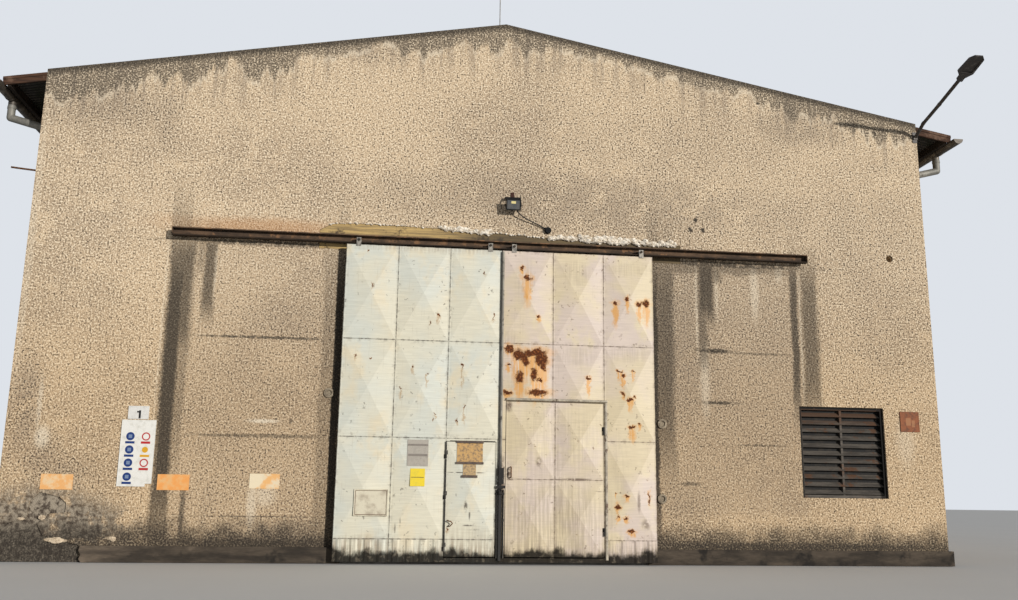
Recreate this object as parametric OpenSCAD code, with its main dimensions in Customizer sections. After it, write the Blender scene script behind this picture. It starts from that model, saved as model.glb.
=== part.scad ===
// Industrial hall with a two-leaf sliding gate, in millimetres.
// X runs to the right as seen from the front, Y runs into the hall, Z is up.
// The origin is on the ground at the centre of the plan, and the front faces -Y.

/* [Hall] */
// Width over the outer faces of the side walls
hall_w = 12000; // [11000:100:15000]
// Length over the outer faces of the two gable walls
hall_l = 24000; // [16000:500:36000]
// Height of the gable top at its corners
gable_edge_h = 6200; // [5700:50:7500]
// Pitch of the roof in degrees
roof_pitch = 10.4; // [7:0.1:14]
// Number of bays between the gable walls
bays = 4; // [2:1:6]

/* [Masonry] */
// Thickness of the outer walls
wall_t = 380; // [300:10:500]
// Height of the floor above the ground
floor_h = 60; // [40:5:100]
// Width of the inner piers along the wall
pier_w = 400; // [300:10:500]
// Depth of the inner piers
pier_d = 250; // [200:10:350]
// Height of the plinth band
plinth_h = 190; // [150:5:280]
// Projection of the plinth band
plinth_out = 45; // [30:1:60]
// Thickness of the parapet that stands above the roof sheets
parapet_t = 150; // [100:5:200]
// Rise of the parapet above the roof sheets, square to the slope
parapet_up = 50; // [20:5:80]

/* [Roof] */
// Distance from the side wall's outer face to the edge of the sheets
eaves_over = 530; // [400:10:650]
// Pitch of the corrugation
wave_pitch = 76; // [76:1:150]
// Depth of the corrugation
wave_depth = 27; // [18:1:40]
// Thickness of the sheet
sheet_t = 3; // [2:0.5:5]
// Height of a purlin
purlin_h = 140; // [100:5:180]
// Width of a purlin
purlin_w = 80; // [60:5:120]
// Number of purlins on a slope
purlins = 5; // [3:1:6]
// Size of a truss bar
truss_bar = 80; // [60:5:100]
// Height of the underside of the trusses
truss_z = 5400; // [5200:10:5500]
// Height of the verge board
verge_h = 110; // [90:5:140]
// Thickness of the verge board
verge_t = 28; // [20:1:40]

/* [Gutters] */
// Radius of the half-round gutter
gutter_r = 70; // [60:1:80]
// Thickness of the gutter metal
gutter_t = 3; // [2:0.5:4]
// Length of gutter that stands past each gable
gutter_over = 110; // [60:5:200]
// Distance between gutter brackets
bracket_pitch = 800; // [600:50:1000]
// Diameter of the downpipe
pipe_d = 100; // [80:5:110]

/* [Gate] */
// Place of the line where the leaves meet
gate_cx = -25; // [-100:5:100]
// Width of one leaf
leaf_w = 2015; // [1800:5:2100]
// Gap between the leaves
leaf_gap = 10; // [10:1:20]
// Height of the underside of the leaves
leaf_z0 = 30; // [30:5:60]
// Height of the kick plate's top edge
kick_top = 300; // [250:5:350]
// Height of a row of pressed panels
row_h = 1230; // [1100:5:1260]
// Depth of the pressed pyramid
pyramid_h = 32; // [20:1:45]
// Thickness of the panel sheet
panel_t = 3; // [2:0.5:4]
// Size of the square tube of the leaf frames
tube = 50; // [40:1:60]
// Distance from the wall face to the front of the leaves
leaf_out = 150; // [140:5:180]
// Overlap of the leaves on the wall at each side of the opening
leaf_lap = 90; // [60:5:120]
// Overlap of the leaves on the wall over the opening
head_lap = 70; // [40:5:100]

/* [Rail] */
// Height of the rail
rail_h = 110; // [90:5:130]
// Depth of the rail
rail_d = 80; // [70:1:90]
// Thickness of the rail's metal
rail_t = 6; // [4:1:8]
// Gap between the rail and the top of the leaves
rail_gap = 22; // [15:1:30]
// Length of rail past each side of the closed leaves
rail_past = 2190; // [2150:10:2300]
// Diameter of a roller
roller_d = 64; // [50:1:70]

/* [Wicket] */
// Height of the wicket's top edge
wicket_top = 2010; // [1900:10:2100]
// Gap round the small doors
door_gap = 8; // [6:1:12]
// Height of the small door's top edge
hatch_top = 1490; // [1400:10:1500]
// Size of the square tube of the small doors' frames
door_tube = 40; // [30:1:45]
// Diameter of a hinge barrel
barrel_d = 24; // [20:1:30]

/* [Louvres] */
// Width of a louvre opening
louvre_w = 1190; // [900:10:1300]
// Height of a louvre opening
louvre_h = 1200; // [900:10:1400]
// Height of the louvre's lower edge
louvre_z = 860; // [700:10:1000]
// Place of the front louvre's left edge
louvre_x = 4020; // [3950:10:4200]
// Number of blades in a louvre
blades = 11; // [7:1:13]

/* [Hidden] */
$fn = 48;

// Roof geometry. A depth is measured square to the slope, down from the gable's top.
pitch_cos = cos(roof_pitch);
pitch_tan = tan(roof_pitch);
ridge_h = gable_edge_h + hall_w / 2 * pitch_tan;
function roof_z(x, depth = 0) = ridge_h - abs(x) * pitch_tan - depth / pitch_cos;
sheet_top = parapet_up;
sheet_bottom = sheet_top + wave_depth;
chord_top = sheet_bottom + purlin_h;
eaves_x = hall_w / 2 + eaves_over;
// Play between pieces that rest on each other on the slopes
seat = 0.3;

// Plan lines
half_w = hall_w / 2;
half_l = hall_l / 2;
front_y = -half_l;
inner_w = hall_w - 2 * wall_t;
inner_l = hall_l - 2 * wall_t;

// Gate lines
leaf_top = kick_top + 3 * row_h;
left_x0 = gate_cx - leaf_gap / 2 - leaf_w;
left_x1 = gate_cx - leaf_gap / 2;
right_x0 = gate_cx + leaf_gap / 2;
right_x1 = gate_cx + leaf_gap / 2 + leaf_w;
open_x0 = left_x0 + leaf_lap;
open_x1 = right_x1 - leaf_lap;
open_top = leaf_top - head_lap;
col_w = leaf_w / 3;
seam = 8;
leaf_y = front_y - leaf_out;
frame_y = leaf_y + panel_t;
panel_rim = 18;
rib_pitch = 134;
rib_h = 12;

// Rail lines: the roller runs on the lower flange of a channel that opens to the front
rail_z0 = leaf_top + rail_gap;
rail_y = leaf_y + 12;
roller_y = rail_y + rail_d / 2;
roller_z = rail_z0 + rail_t + 0.3 + roller_d / 2;
hanger_inset = 152;
lip_h = 14;

// Small door lines
hatch_x0 = left_x1 - col_w + seam;
hatch_x1 = left_x1 - 45;
wicket_x0 = right_x0 + 75;
wicket_x1 = right_x0 + 2 * col_w - 14;
door_z0 = 95;
barrel_out = barrel_d / 2 + 3;
pin_y = leaf_y - barrel_out;
hinge_h = 50;
hinge_gap = 1;

// Solid between y0 and y1 with its outline drawn in X and Z
module across(y0, y1) {
    translate([0, y1, 0]) rotate([90, 0, 0]) linear_extrude(y1 - y0) children();
}

// Solid between x0 and x1 with its outline drawn in Y and Z
module along(x0, x1) {
    translate([x0, 0, 0]) rotate([90, 0, 90]) linear_extrude(x1 - x0) children();
}

// Frame on one slope: x runs down from the ridge, z stands square to the roof
module on_slope(side) {
    mirror([side < 0 ? 1 : 0, 0, 0]) translate([0, 0, ridge_h]) rotate([0, roof_pitch, 0]) children();
}

module block(x0, x1, y0, y1, z0, z1) {
    translate([x0, y0, z0]) cube([x1 - x0, y1 - y0, z1 - z0]);
}

// Outline of a band that follows both slopes between two depths
module roof_band(x_end, depth0, depth1) {
    polygon([
        [-x_end, roof_z(x_end, depth0)], [0, roof_z(0, depth0)], [x_end, roof_z(x_end, depth0)],
        [x_end, roof_z(x_end, depth1)], [0, roof_z(0, depth1)], [-x_end, roof_z(x_end, depth1)]
    ]);
}

// Outline of a gable from a level up to a depth under its top line
module gable(z0, depth) {
    polygon([
        [-half_w, z0], [half_w, z0], [half_w, roof_z(half_w, depth)],
        [0, roof_z(0, depth)], [-half_w, roof_z(half_w, depth)]
    ]);
}

module louvre_hole(x, y0, y1) {
    block(x, x + louvre_w, y0, y1, louvre_z, louvre_z + louvre_h);
}

// Places of the louvres along a side wall, one to a bay
bay_l = hall_l / bays;
side_louvre_y = [for (i = [0 : bays - 1]) -half_l + (i + 0.5) * bay_l - louvre_w / 2];
// Places of the louvres in the back wall, as the front one on both halves
back_louvre_x = [louvre_x, -louvre_x - louvre_w];

wall_colour = "tan";

module floor_slab() {
    color("darkgray") union() {
        block(-inner_w / 2, inner_w / 2, -inner_l / 2, inner_l / 2, 0, floor_h);
        block(open_x0, open_x1, front_y, -inner_l / 2 + 1, 0, floor_h);
    }
}

// Where the render has fallen off at the left corner: distances from the corner and heights
spall_d = 22;
spall_edge = [
    [0, 420], [360, 480], [380, 710], [485, 805], [715, 750], [795, 680], [790, 575],
    [580, 550], [490, 435], [560, 305], [770, 250], [980, 195]
];
// The plinth's left end is broken off this far from the corner
plinth_break = -half_w + 1000;

module spall_outline() {
    polygon(concat([[-half_w - 1, -1], [-half_w - 1, spall_edge[0][1]]],
                   [for (p = spall_edge) [p[0] - half_w, p[1]]], [[plinth_break, -1]]));
}

module front_wall_left() {
    color(wall_colour) difference() {
        block(-half_w, open_x0, front_y, front_y + wall_t, 0, open_top);
        across(front_y - 1, front_y + spall_d) spall_outline();
    }
}

module front_wall_right() {
    color(wall_colour) difference() {
        block(open_x1, half_w, front_y, front_y + wall_t, 0, open_top);
        louvre_hole(louvre_x, front_y - 1, front_y + wall_t + 1);
    }
}

// Broken edge of the render over the gate, as heights above the rail's underside
board_x0 = -2410;
board_x1 = 2430;
board_t = 30;
broken_edge = [
    [board_x0, 190], [-2260, 275], [-1900, 300], [-980, 283], [-180, 253],
    [560, 222], [1316, 213], [board_x1, 195]
];

module board_outline(inset = 0) {
    polygon(concat(
        [[board_x0 + inset, rail_z0 - 60], [board_x0 + inset, rail_z0 + broken_edge[0][1] - inset]],
        [for (i = [1 : len(broken_edge) - 2]) [broken_edge[i][0], rail_z0 + broken_edge[i][1] - inset]],
        [[board_x1 - inset, rail_z0 + broken_edge[len(broken_edge) - 1][1] - inset],
         [board_x1 - inset, rail_z0 - 60]]
    ));
}

// Round vent in the gable, near its right end
vent_d = 100;
vent_depth = 140;
vent_x = half_w - 546;
vent_z = open_top + 236;

module front_gable() {
    color(wall_colour) difference() {
        union() {
            across(front_y, front_y + parapet_t) gable(open_top, 0);
            across(front_y + parapet_t - 1, front_y + wall_t) gable(open_top, sheet_bottom + seat);
        }
        across(front_y - 1, front_y + board_t) board_outline();
        translate([vent_x, front_y + vent_depth, vent_z]) rotate([90, 0, 0])
            cylinder(d = vent_d, h = vent_depth + 1);
    }
}

module back_wall() {
    color(wall_colour) difference() {
        union() {
            across(half_l - parapet_t, half_l) gable(0, 0);
            across(half_l - wall_t, half_l - parapet_t + 1) gable(0, sheet_bottom + seat);
        }
        for (x = back_louvre_x) louvre_hole(x, half_l - wall_t - 1, half_l + 1);
    }
}

// Rafter tails that carry the eaves board, set in the head of the side wall
tail_w = 60;
tail_h = 100;
tail_inset = 90;
eaves_board_t = 40;
tail_pitch = 1200;
tail_end = 300;
tail_count = floor((inner_l - 2 * tail_end) / tail_pitch) + 1;
tail_y = [for (i = [0 : tail_count - 1]) (i - (tail_count - 1) / 2) * tail_pitch];

// Outline of a tail from inside the wall head to the eaves board; its pocket has more play
module tail_outline(x0, x1, play = 0) {
    top = sheet_bottom + seat - (play > 0 ? tail_h : 0);
    bottom = sheet_bottom + tail_h + play;
    polygon([
        [x0, roof_z(x0, top)], [x1, roof_z(x1, top)],
        [x1, roof_z(x1, bottom)], [x0, roof_z(x0, bottom)]
    ]);
}

module side_wall(side) {
    mirror([side < 0 ? 1 : 0, 0, 0]) difference() {
        across(-inner_l / 2, inner_l / 2) polygon([
            [half_w - wall_t, 0], [half_w, 0], [half_w, roof_z(half_w, sheet_bottom + seat)],
            [half_w - wall_t, roof_z(half_w - wall_t, sheet_bottom + seat)]
        ]);
        for (y = side_louvre_y)
            block(half_w - wall_t - 1, half_w + 1, y, y + louvre_w, louvre_z, louvre_z + louvre_h);
        for (y = tail_y)
            across(y - tail_w / 2 - seat, y + tail_w / 2 + seat)
                tail_outline(half_w - wall_t - 1, half_w + 1, seat);
    }
}

module left_wall() {
    color(wall_colour) side_wall(-1);
}

module right_wall() {
    color(wall_colour) side_wall(1);
}

truss_y = [for (i = [1 : bays - 1]) -half_l + i * bay_l];

module inner_piers() {
    color("lightgray") for (side = [-1, 1], y = truss_y)
        mirror([side < 0 ? 1 : 0, 0, 0])
            block(inner_w / 2 - pier_d, inner_w / 2, y - pier_w / 2, y + pier_w / 2, floor_h, truss_z);
}

module plinth_front() {
    color("dimgray") {
        across(front_y - plinth_out, front_y) polygon([
            [open_x0, 0], [open_x0, plinth_h], [plinth_break + 12, plinth_h], [plinth_break, plinth_h * 0.7],
            [plinth_break + 28, plinth_h * 0.45], [plinth_break + 8, plinth_h * 0.2], [plinth_break + 36, 0]
        ]);
        block(open_x1, half_w + plinth_out, front_y - plinth_out, front_y, 0, plinth_h);
    }
}

module plinth_sides() {
    color("dimgray") {
        for (side = [-1, 1]) mirror([side < 0 ? 1 : 0, 0, 0])
            block(half_w, half_w + plinth_out, front_y + 2, half_l - 2, 0, plinth_h);
        block(-half_w - plinth_out, half_w + plinth_out, half_l, half_l + plinth_out, 0, plinth_h);
    }
}

// Corrugated sheets of one slope, one to a bay, cut back where the parapets stand
sheet_joint = 2;
module wave_outline(length) {
    count = floor(length / wave_pitch);
    step = length / count;
    flat = 0.3 * step;
    rise = 0.2 * step;
    low = sheet_t - wave_depth;
    upper = concat(
        [for (i = [0 : count - 1], p = [[0, low], [flat, low], [flat + rise, 0], [2 * flat + rise, 0]])
            [i * step + p[0], p[1]]],
        [[length, low]]
    );
    last = len(upper) - 1;
    polygon(concat(upper, [for (i = [0 : last]) upper[last - i] - [0, sheet_t]]));
}

module roof_sheets(side) {
    ridge_gap = 20;
    on_slope(side) for (i = [0 : bays - 1]) {
        y0 = -half_l + i * bay_l + (i == 0 ? verge_t : sheet_joint / 2);
        y1 = -half_l + (i + 1) * bay_l - (i == bays - 1 ? verge_t : sheet_joint / 2);
        difference() {
            translate([0, y0, -sheet_top]) along(ridge_gap, eaves_x / pitch_cos) wave_outline(y1 - y0);
            if (i == 0) parapet_cut(-half_l);
            if (i == bays - 1) parapet_cut(half_l - parapet_t);
        }
    }
}

// The cut ends plumb outside the wall's face, so it grows with its depth below the gable's top
module parapet_cut(y) {
    depth = sheet_bottom + 5;
    translate([0, y, -depth])
        cube([half_w / pitch_cos + depth * pitch_tan + seat, parapet_t, wave_depth + 10]);
}

module roof_left() {
    color("saddlebrown") roof_sheets(-1);
}

module roof_right() {
    color("saddlebrown") roof_sheets(1);
}

cap_w = 240;
cap_t = 3;
module ridge_cap() {
    color("saddlebrown") across(-half_l + parapet_t + 1, half_l - parapet_t - 1)
        roof_band(cap_w, sheet_top - cap_t - seat, sheet_top - seat);
}

// The verge boards are notched round the gutter with this play, and carry a drip strip on top
verge_notch = 5;
drip_h = 40;
drip_t = 10;
module verge_outline(height) {
    polygon([
        [half_w, roof_z(half_w, sheet_top)], [eaves_x, roof_z(eaves_x, sheet_top)],
        [eaves_x, roof_z(eaves_x, sheet_top) - height], [half_w, roof_z(half_w, sheet_top) - height]
    ]);
}

module verge_boards() {
    color("sienna") for (side = [-1, 1], end = [-1, 1])
        mirror([side < 0 ? 1 : 0, 0, 0]) mirror([0, end < 0 ? 1 : 0, 0]) {
            across(half_l - verge_t, half_l) difference() {
                verge_outline(verge_h);
                translate([gutter_x, gutter_z + verge_notch]) half_round(gutter_r + verge_notch);
            }
            across(half_l - drip_t, half_l + drip_t) verge_outline(drip_h);
        }
}

module eaves_frame(side) {
    board_x = eaves_x - tail_inset;
    mirror([side < 0 ? 1 : 0, 0, 0]) union() {
        for (y = tail_y)
            across(y - tail_w / 2, y + tail_w / 2) tail_outline(half_w - wall_t, board_x + 1);
        across(-half_l + verge_t, half_l - verge_t) tail_outline(board_x, board_x + eaves_board_t);
    }
}

module eaves_frame_left() {
    color("saddlebrown") eaves_frame(-1);
}

module eaves_frame_right() {
    color("saddlebrown") eaves_frame(1);
}

// Purlins stand evenly between the ridge and the wall head
purlin_first = 260;
purlin_end = 500;
purlin_last = (half_w - wall_t) / pitch_cos - purlin_end;
module purlin_row(side) {
    on_slope(side) for (i = [0 : purlins - 1])
        translate([purlin_first + i * (purlin_last - purlin_first) / (purlins - 1) - purlin_w / 2,
                   -inner_l / 2, -chord_top])
            cube([purlin_w, inner_l, purlin_h]);
}

module purlins_left() {
    color("gray") purlin_row(-1);
}

module purlins_right() {
    color("gray") purlin_row(1);
}

// A bar of the lattice between two points in X and Z
module bar(a, b) {
    length = norm(b - a);
    turn = atan2(b[1] - a[1], b[0] - a[0]);
    translate(a) rotate(turn) translate([0, -truss_bar * 0.35]) square([length, truss_bar * 0.7]);
}

truss_panels = 8;
module truss() {
    span = inner_w / 2 - 10;
    foot = truss_z + truss_bar / 2;
    head = chord_top + truss_bar / 2;
    // Nodes of the lower chord, and those of the upper chord halfway between them
    low = [for (i = [0 : truss_panels]) [-span + i * 2 * span / truss_panels, foot]];
    high = [for (i = [0 : truss_panels - 1]) let (x = -span + (i + 0.5) * 2 * span / truss_panels)
        [x, roof_z(x, head)]];
    linear_extrude(truss_bar) intersection() {
        union() {
            roof_band(span, chord_top, chord_top + truss_bar);
            translate([-span, truss_z]) square([2 * span, truss_bar]);
            for (i = [0 : truss_panels - 1]) {
                bar(low[i], high[i]);
                bar(high[i], low[i + 1]);
            }
            for (side = [-1, 1]) translate([side * (span - truss_bar / 2) - truss_bar / 2, truss_z])
                square([truss_bar, roof_z(span, chord_top + truss_bar / 2) - truss_z]);
            translate([-truss_bar / 2, truss_z]) square([truss_bar, roof_z(0, head) - truss_z]);
        }
        translate([-span, truss_z]) square([2 * span, ridge_h - truss_z]);
    }
}

module roof_trusses() {
    color("gray") for (y = truss_y)
        translate([0, y + truss_bar / 2, 0]) rotate([90, 0, 0]) truss();
}

// Half-round gutters with closed ends, a little below and outside the sheets' edge
gutter_x = eaves_x + 50;
gutter_z = roof_z(eaves_x, sheet_bottom) - 60;
gutter_l = hall_l + 2 * gutter_over;
outlet_in = 490;
outlet_y = front_y + outlet_in;
module half_round(r) {
    intersection() {
        circle(r, $fn = 48);
        translate([-2 * r, -2 * r]) square([4 * r, 2 * r]);
    }
}

module gutter(side) {
    mirror([side < 0 ? 1 : 0, 0, 0]) difference() {
        union() {
            translate([gutter_x, 0, gutter_z]) across(-gutter_l / 2, gutter_l / 2) half_round(gutter_r);
            translate([gutter_x, outlet_y, gutter_z - gutter_r - 40]) cylinder(r = pipe_d / 2, h = 60);
        }
        translate([gutter_x, 0, gutter_z + 0.01])
            across(-gutter_l / 2 + gutter_t, gutter_l / 2 - gutter_t) half_round(gutter_r - gutter_t);
        translate([gutter_x, outlet_y, gutter_z - gutter_r - 41]) cylinder(r = pipe_d / 2 - gutter_t, h = 60);
    }
}

module gutter_left() {
    color("dimgray") gutter(-1);
}

module gutter_right() {
    color("dimgray") gutter(1);
}

// Each bracket is a strap round the gutter with a tail up to the eaves board
strap_w = 25;
strap_t = 5;
strap_rise = 16;
bracket_inset = 150;
bracket_count = floor((hall_l - 2 * bracket_inset) / bracket_pitch) + 1;
module gutter_bracket() {
    board_x = eaves_x - tail_inset + eaves_board_t;
    board_z = roof_z(board_x, sheet_bottom);
    tail_z = gutter_z + strap_rise - strap_t;
    across(-strap_w / 2, strap_w / 2) {
        translate([gutter_x, gutter_z]) difference() {
            half_round(gutter_r + strap_t);
            circle(gutter_r, $fn = 48);
        }
        translate([gutter_x - gutter_r - strap_t, gutter_z]) square([strap_t, strap_rise]);
        translate([board_x, tail_z]) square([gutter_x - gutter_r - board_x, strap_t]);
        translate([board_x, tail_z]) square([strap_t, board_z - tail_z - strap_t]);
    }
}

module gutter_brackets() {
    color("dimgray") for (side = [-1, 1], i = [0 : bracket_count - 1])
        mirror([side < 0 ? 1 : 0, 0, 0])
            translate([0, (i - (bracket_count - 1) / 2) * bracket_pitch, 0]) gutter_bracket();
}

// Downpipe: a swan neck from the outlet to the wall, then a straight pipe with a shoe.
// Its points are given in X and Z, from the top down.
neck_x = half_w + pipe_d / 2 + 40;
neck_drop = 170;
neck_fall = 130;
shoe_z = 260;
shoe_reach = 90;
pipe_top = gutter_z - gutter_r - 40;
pipe_path = [
    [gutter_x, pipe_top], [gutter_x, pipe_top - neck_drop], [neck_x, pipe_top - neck_drop - neck_fall],
    [neck_x, shoe_z], [neck_x + shoe_reach, shoe_z - shoe_reach]
];
clip_z = [900, 3000, 5000];
// Sleeves where the lengths of pipe join, as places in X and upper levels
collar_h = 36;
collars = [
    [gutter_x, pipe_top - 12], [neck_x, pipe_top - neck_drop - neck_fall - 60], [neck_x, shoe_z + 70]
];

module pipe_piece(a, b, d) {
    translate([a[0], 0, a[1]]) rotate([0, atan2(b[0] - a[0], b[1] - a[1]), 0])
        cylinder(d = d, h = norm(b - a));
}

module pipe_clip() {
    difference() {
        union() {
            translate([neck_x, 0, 0]) cylinder(d = pipe_d + 8, h = 30);
            translate([half_w, -15, 0]) cube([neck_x - half_w, 30, 30]);
        }
        translate([neck_x, 0, -1]) cylinder(d = pipe_d - gutter_t, h = 32);
    }
}

module downpipe(side) {
    last = len(pipe_path) - 1;
    mirror([side < 0 ? 1 : 0, 0, 0]) translate([0, outlet_y, 0]) {
        difference() {
            union() {
                for (i = [0 : last - 1]) pipe_piece(pipe_path[i], pipe_path[i + 1], pipe_d);
                for (i = [1 : last - 1]) translate([pipe_path[i][0], 0, pipe_path[i][1]]) sphere(d = pipe_d);
            }
            pipe_piece(pipe_path[last] + [1, -1], pipe_path[last] + [-40, 40], pipe_d - 2 * gutter_t);
        }
        for (z = clip_z) translate([0, 0, z]) pipe_clip();
        for (p = collars) translate([p[0], 0, p[1] - collar_h]) cylinder(d = pipe_d + 10, h = collar_h);
    }
}

module downpipe_left() {
    color("gray") downpipe(-1);
}

module downpipe_right() {
    color("gray") downpipe(1);
}

// Channel rail with lips, open to the front
rail_x0 = left_x0 - rail_past;
rail_x1 = right_x1 + rail_past;
module rail_section() {
    difference() {
        square([rail_d, rail_h]);
        translate([rail_t, rail_t]) square([rail_d - 2 * rail_t, rail_h - 2 * rail_t]);
        translate([-1, lip_h]) square([rail_t + 2, rail_h - 2 * lip_h]);
    }
}

module gate_rail() {
    color("saddlebrown") translate([0, rail_y, rail_z0]) union() {
        along(rail_x0, rail_x1) rail_section();
        for (x = [rail_x0, rail_x1 - rail_t]) translate([x, 0, 0]) cube([rail_t, rail_d, rail_h]);
    }
}

// Packing pieces that hold the rail off the wall, or off the board where it lies behind
rail_bracket_w = 60;
rail_bracket_count = 9;
bracket_end = 120;
board_face = 4;
function bracket_x(i) =
    rail_x0 + bracket_end + i * (rail_x1 - rail_x0 - 2 * bracket_end) / (rail_bracket_count - 1);
function bracket_seat(x) = front_y + (x > board_x0 && x < board_x1 ? board_face : 0);

module rail_brackets() {
    color("saddlebrown") for (i = [0 : rail_bracket_count - 1]) {
        x = bracket_x(i);
        block(x - rail_bracket_w / 2, x + rail_bracket_w / 2, rail_y + rail_d, bracket_seat(x),
              rail_z0 + 10, rail_z0 + rail_h - 10);
    }
}

module lintel_board() {
    color("goldenrod") across(front_y + board_face, front_y + board_t) board_outline(4);
}

flood_x = 115;
flood_z = 4635;
junction_x = 600;
junction_z = 4330;
flood_w = 200;
flood_h = 150;
flood_tilt = 10;
flood_pivot = [-104, 0];
module floodlight() {
    color("black") translate([flood_x, front_y, flood_z]) {
        // Plate and stub on the wall, and a yoke round the housing
        block(-24, 24, -8, 0, 60, 205);
        block(-18, 18, -46, -7, 92, 132);
        block(-flood_w / 2 - 8, flood_w / 2 + 8, -52, -45, 96, 126);
        for (x = [-flood_w / 2 - 8, flood_w / 2 + 4]) along(x, x + 4) polygon([
            [-45, 96], [-45, 126], [-58, 126], [-118, 20], [-118, -16], [-90, -16], [-90, 12]
        ]);
        translate([0, flood_pivot[0], flood_pivot[1]]) rotate([flood_tilt, 0, 0]) flood_housing();
    }
}

// Front frame with a recessed glass, a body that tapers to the back, and cooling fins
module flood_housing() {
    rotate([0, 90, 0]) cylinder(d = 16, h = flood_w + 24, center = true);
    difference() {
        block(-flood_w / 2, flood_w / 2, -46, -26, -flood_h / 2, flood_h / 2);
        block(-flood_w / 2 + 16, flood_w / 2 - 16, -47, -40, -flood_h / 2 + 16, flood_h / 2 - 16);
    }
    along(-flood_w / 2 + 8, flood_w / 2 - 8) polygon([
        [-27, flood_h / 2 - 8], [-27, 8 - flood_h / 2], [26, 26 - flood_h / 2], [26, flood_h / 2 - 26]
    ]);
    for (i = [-4 : 4]) along(i * 20 - 2, i * 20 + 2)
        polygon([[25, 45], [25, -45], [42, -36], [42, 36]]);
}

module junction_box() {
    color("black") translate([junction_x, front_y, junction_z]) {
        rotate([90, 0, 0]) cylinder(d = 85, h = 38);
        rotate([90, 0, 0]) cylinder(d = 76, h = 45);
        // Gland towards the lamp
        translate([0, -20, 0]) rotate([0, -60, 0]) cylinder(d = 24, h = 62);
    }
}

// Arm of the wall lamp: a tube on a plate at the right-hand corner
arm_d = 48;
arm_path = [[0, 0], [-240, 135], [-660, 245], [-1150, 385]];
arm_boss = 28;
arm_sleeve = 34;
arm_x = half_w - 25;
arm_z = 5975;
function arm_rise(i) =
    atan2(arm_path[i + 1][1] - arm_path[i][1], arm_path[i][0] - arm_path[i + 1][0]);
module lamp_arm() {
    color("dimgray") translate([arm_x, front_y, arm_z]) {
        translate([-40, -10, -70]) cube([65, 10, 160]);
        // The tube starts in a boss on the plate, clear of the wall
        translate([-30, -arm_boss, -arm_d / 2]) cube([55, arm_boss, arm_d + 12]);
        for (i = [0 : len(arm_path) - 2]) {
            start = i == 0 ? arm_boss / 2 : 0;
            translate([0, arm_path[i][0], arm_path[i][1]]) rotate([90 - arm_rise(i), 0, 0])
                translate([0, 0, start]) cylinder(d = arm_d, h = norm(arm_path[i + 1] - arm_path[i]) - start);
        }
        for (i = [1 : len(arm_path) - 2])
            translate([0, arm_path[i][0], arm_path[i][1]])
                rotate([90 - (arm_rise(i - 1) + arm_rise(i)) / 2, 0, 0])
                    cylinder(d = arm_d + 6, h = arm_sleeve, center = true);
    }
}

// Head of the lamp: its plan tapers to the socket, and its side view thins towards the tip
head_l = 480;
head_w = 210;
module lamp_head() {
    last = len(arm_path) - 1;
    tip = arm_path[last];
    color("dimgray") translate([arm_x, front_y + tip[0], arm_z + tip[1]]) rotate([-arm_rise(last - 1), 0, 0])
        difference() {
            intersection() {
                translate([0, 0, -30]) linear_extrude(75) polygon([
                    [-34, -seat], [-34, -70], [-head_w / 2, -150], [-head_w / 2, 60 - head_l],
                    [50 - head_w / 2, -head_l], [head_w / 2 - 50, -head_l], [head_w / 2, 60 - head_l],
                    [head_w / 2, -150], [34, -70], [34, -seat]
                ]);
                along(-head_w, head_w) polygon([
                    [-seat, 30], [-90, 34], [-190, 30], [-head_l, 4], [-head_l, -16], [-140, -24],
                    [-70, -29], [-seat, -29]
                ]);
            }
            // Lens
            translate([-75, 40 - head_l, -31]) cube([150, 270, 19]);
        }
}

// Louvre of inclined blades in a frame, facing -Y with its corner at the origin
louvre_d = 70;
louvre_tube = 40;
module louvre() {
    pitch = (louvre_h - 2 * louvre_tube) / blades;
    difference() {
        cube([louvre_w, louvre_d, louvre_h]);
        translate([louvre_tube, -1, louvre_tube])
            cube([louvre_w - 2 * louvre_tube, louvre_d + 2, louvre_h - 2 * louvre_tube]);
    }
    translate([louvre_w / 2 - 15, 20, louvre_tube - 1])
        cube([30, louvre_d - 20, louvre_h - 2 * louvre_tube + 2]);
    for (i = [0 : blades - 1])
        translate([louvre_tube - 1, 6, louvre_tube + i * pitch + 10]) rotate([45, 0, 0])
            cube([louvre_w - 2 * louvre_tube + 2, 78, 4]);
}

// Depth of the louvres behind the wall's outer face
louvre_set = 30;
module front_louvre() {
    color("dimgray") translate([louvre_x, front_y + louvre_set, louvre_z]) louvre();
}

module side_louvres() {
    color("dimgray") {
        for (y = side_louvre_y) {
            translate([half_w - louvre_set, y, louvre_z]) rotate([0, 0, 90]) louvre();
            translate([-half_w + louvre_set, y + louvre_w, louvre_z]) rotate([0, 0, -90]) louvre();
        }
        for (x = back_louvre_x)
            translate([x + louvre_w, half_l - louvre_set, louvre_z]) rotate([0, 0, 180]) louvre();
    }
}

rod_x = -70;
rod_foot = 50;
rod_h = 950;
module lightning_rod() {
    base = roof_z(abs(rod_x) - rod_foot / 2, sheet_top - cap_t - seat);
    color("silver") translate([rod_x, front_y + parapet_t + 60, 0]) {
        translate([0, 0, base]) cylinder(d = 12, h = rod_h);
        translate([0, 0, base]) cylinder(d = rod_foot, h = 40);
    }
}

// Frame of square tube between x0..x1 and z0..z1, with bars at the given places
module tube_frame(x0, x1, z0, z1, size, posts = [], rails = []) {
    difference() {
        block(x0, x1, frame_y, frame_y + size, z0, z1);
        block(x0 + size, x1 - size, frame_y - 1, frame_y + size + 1, z0 + size, z1 - size);
    }
    for (x = posts) block(x - size / 2, x + size / 2, frame_y, frame_y + size, z0 + size - 1, z1 - size + 1);
    for (z = rails) block(x0 + size - 1, x1 - size + 1, frame_y, frame_y + size, z - size / 2, z + size / 2);
}

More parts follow.
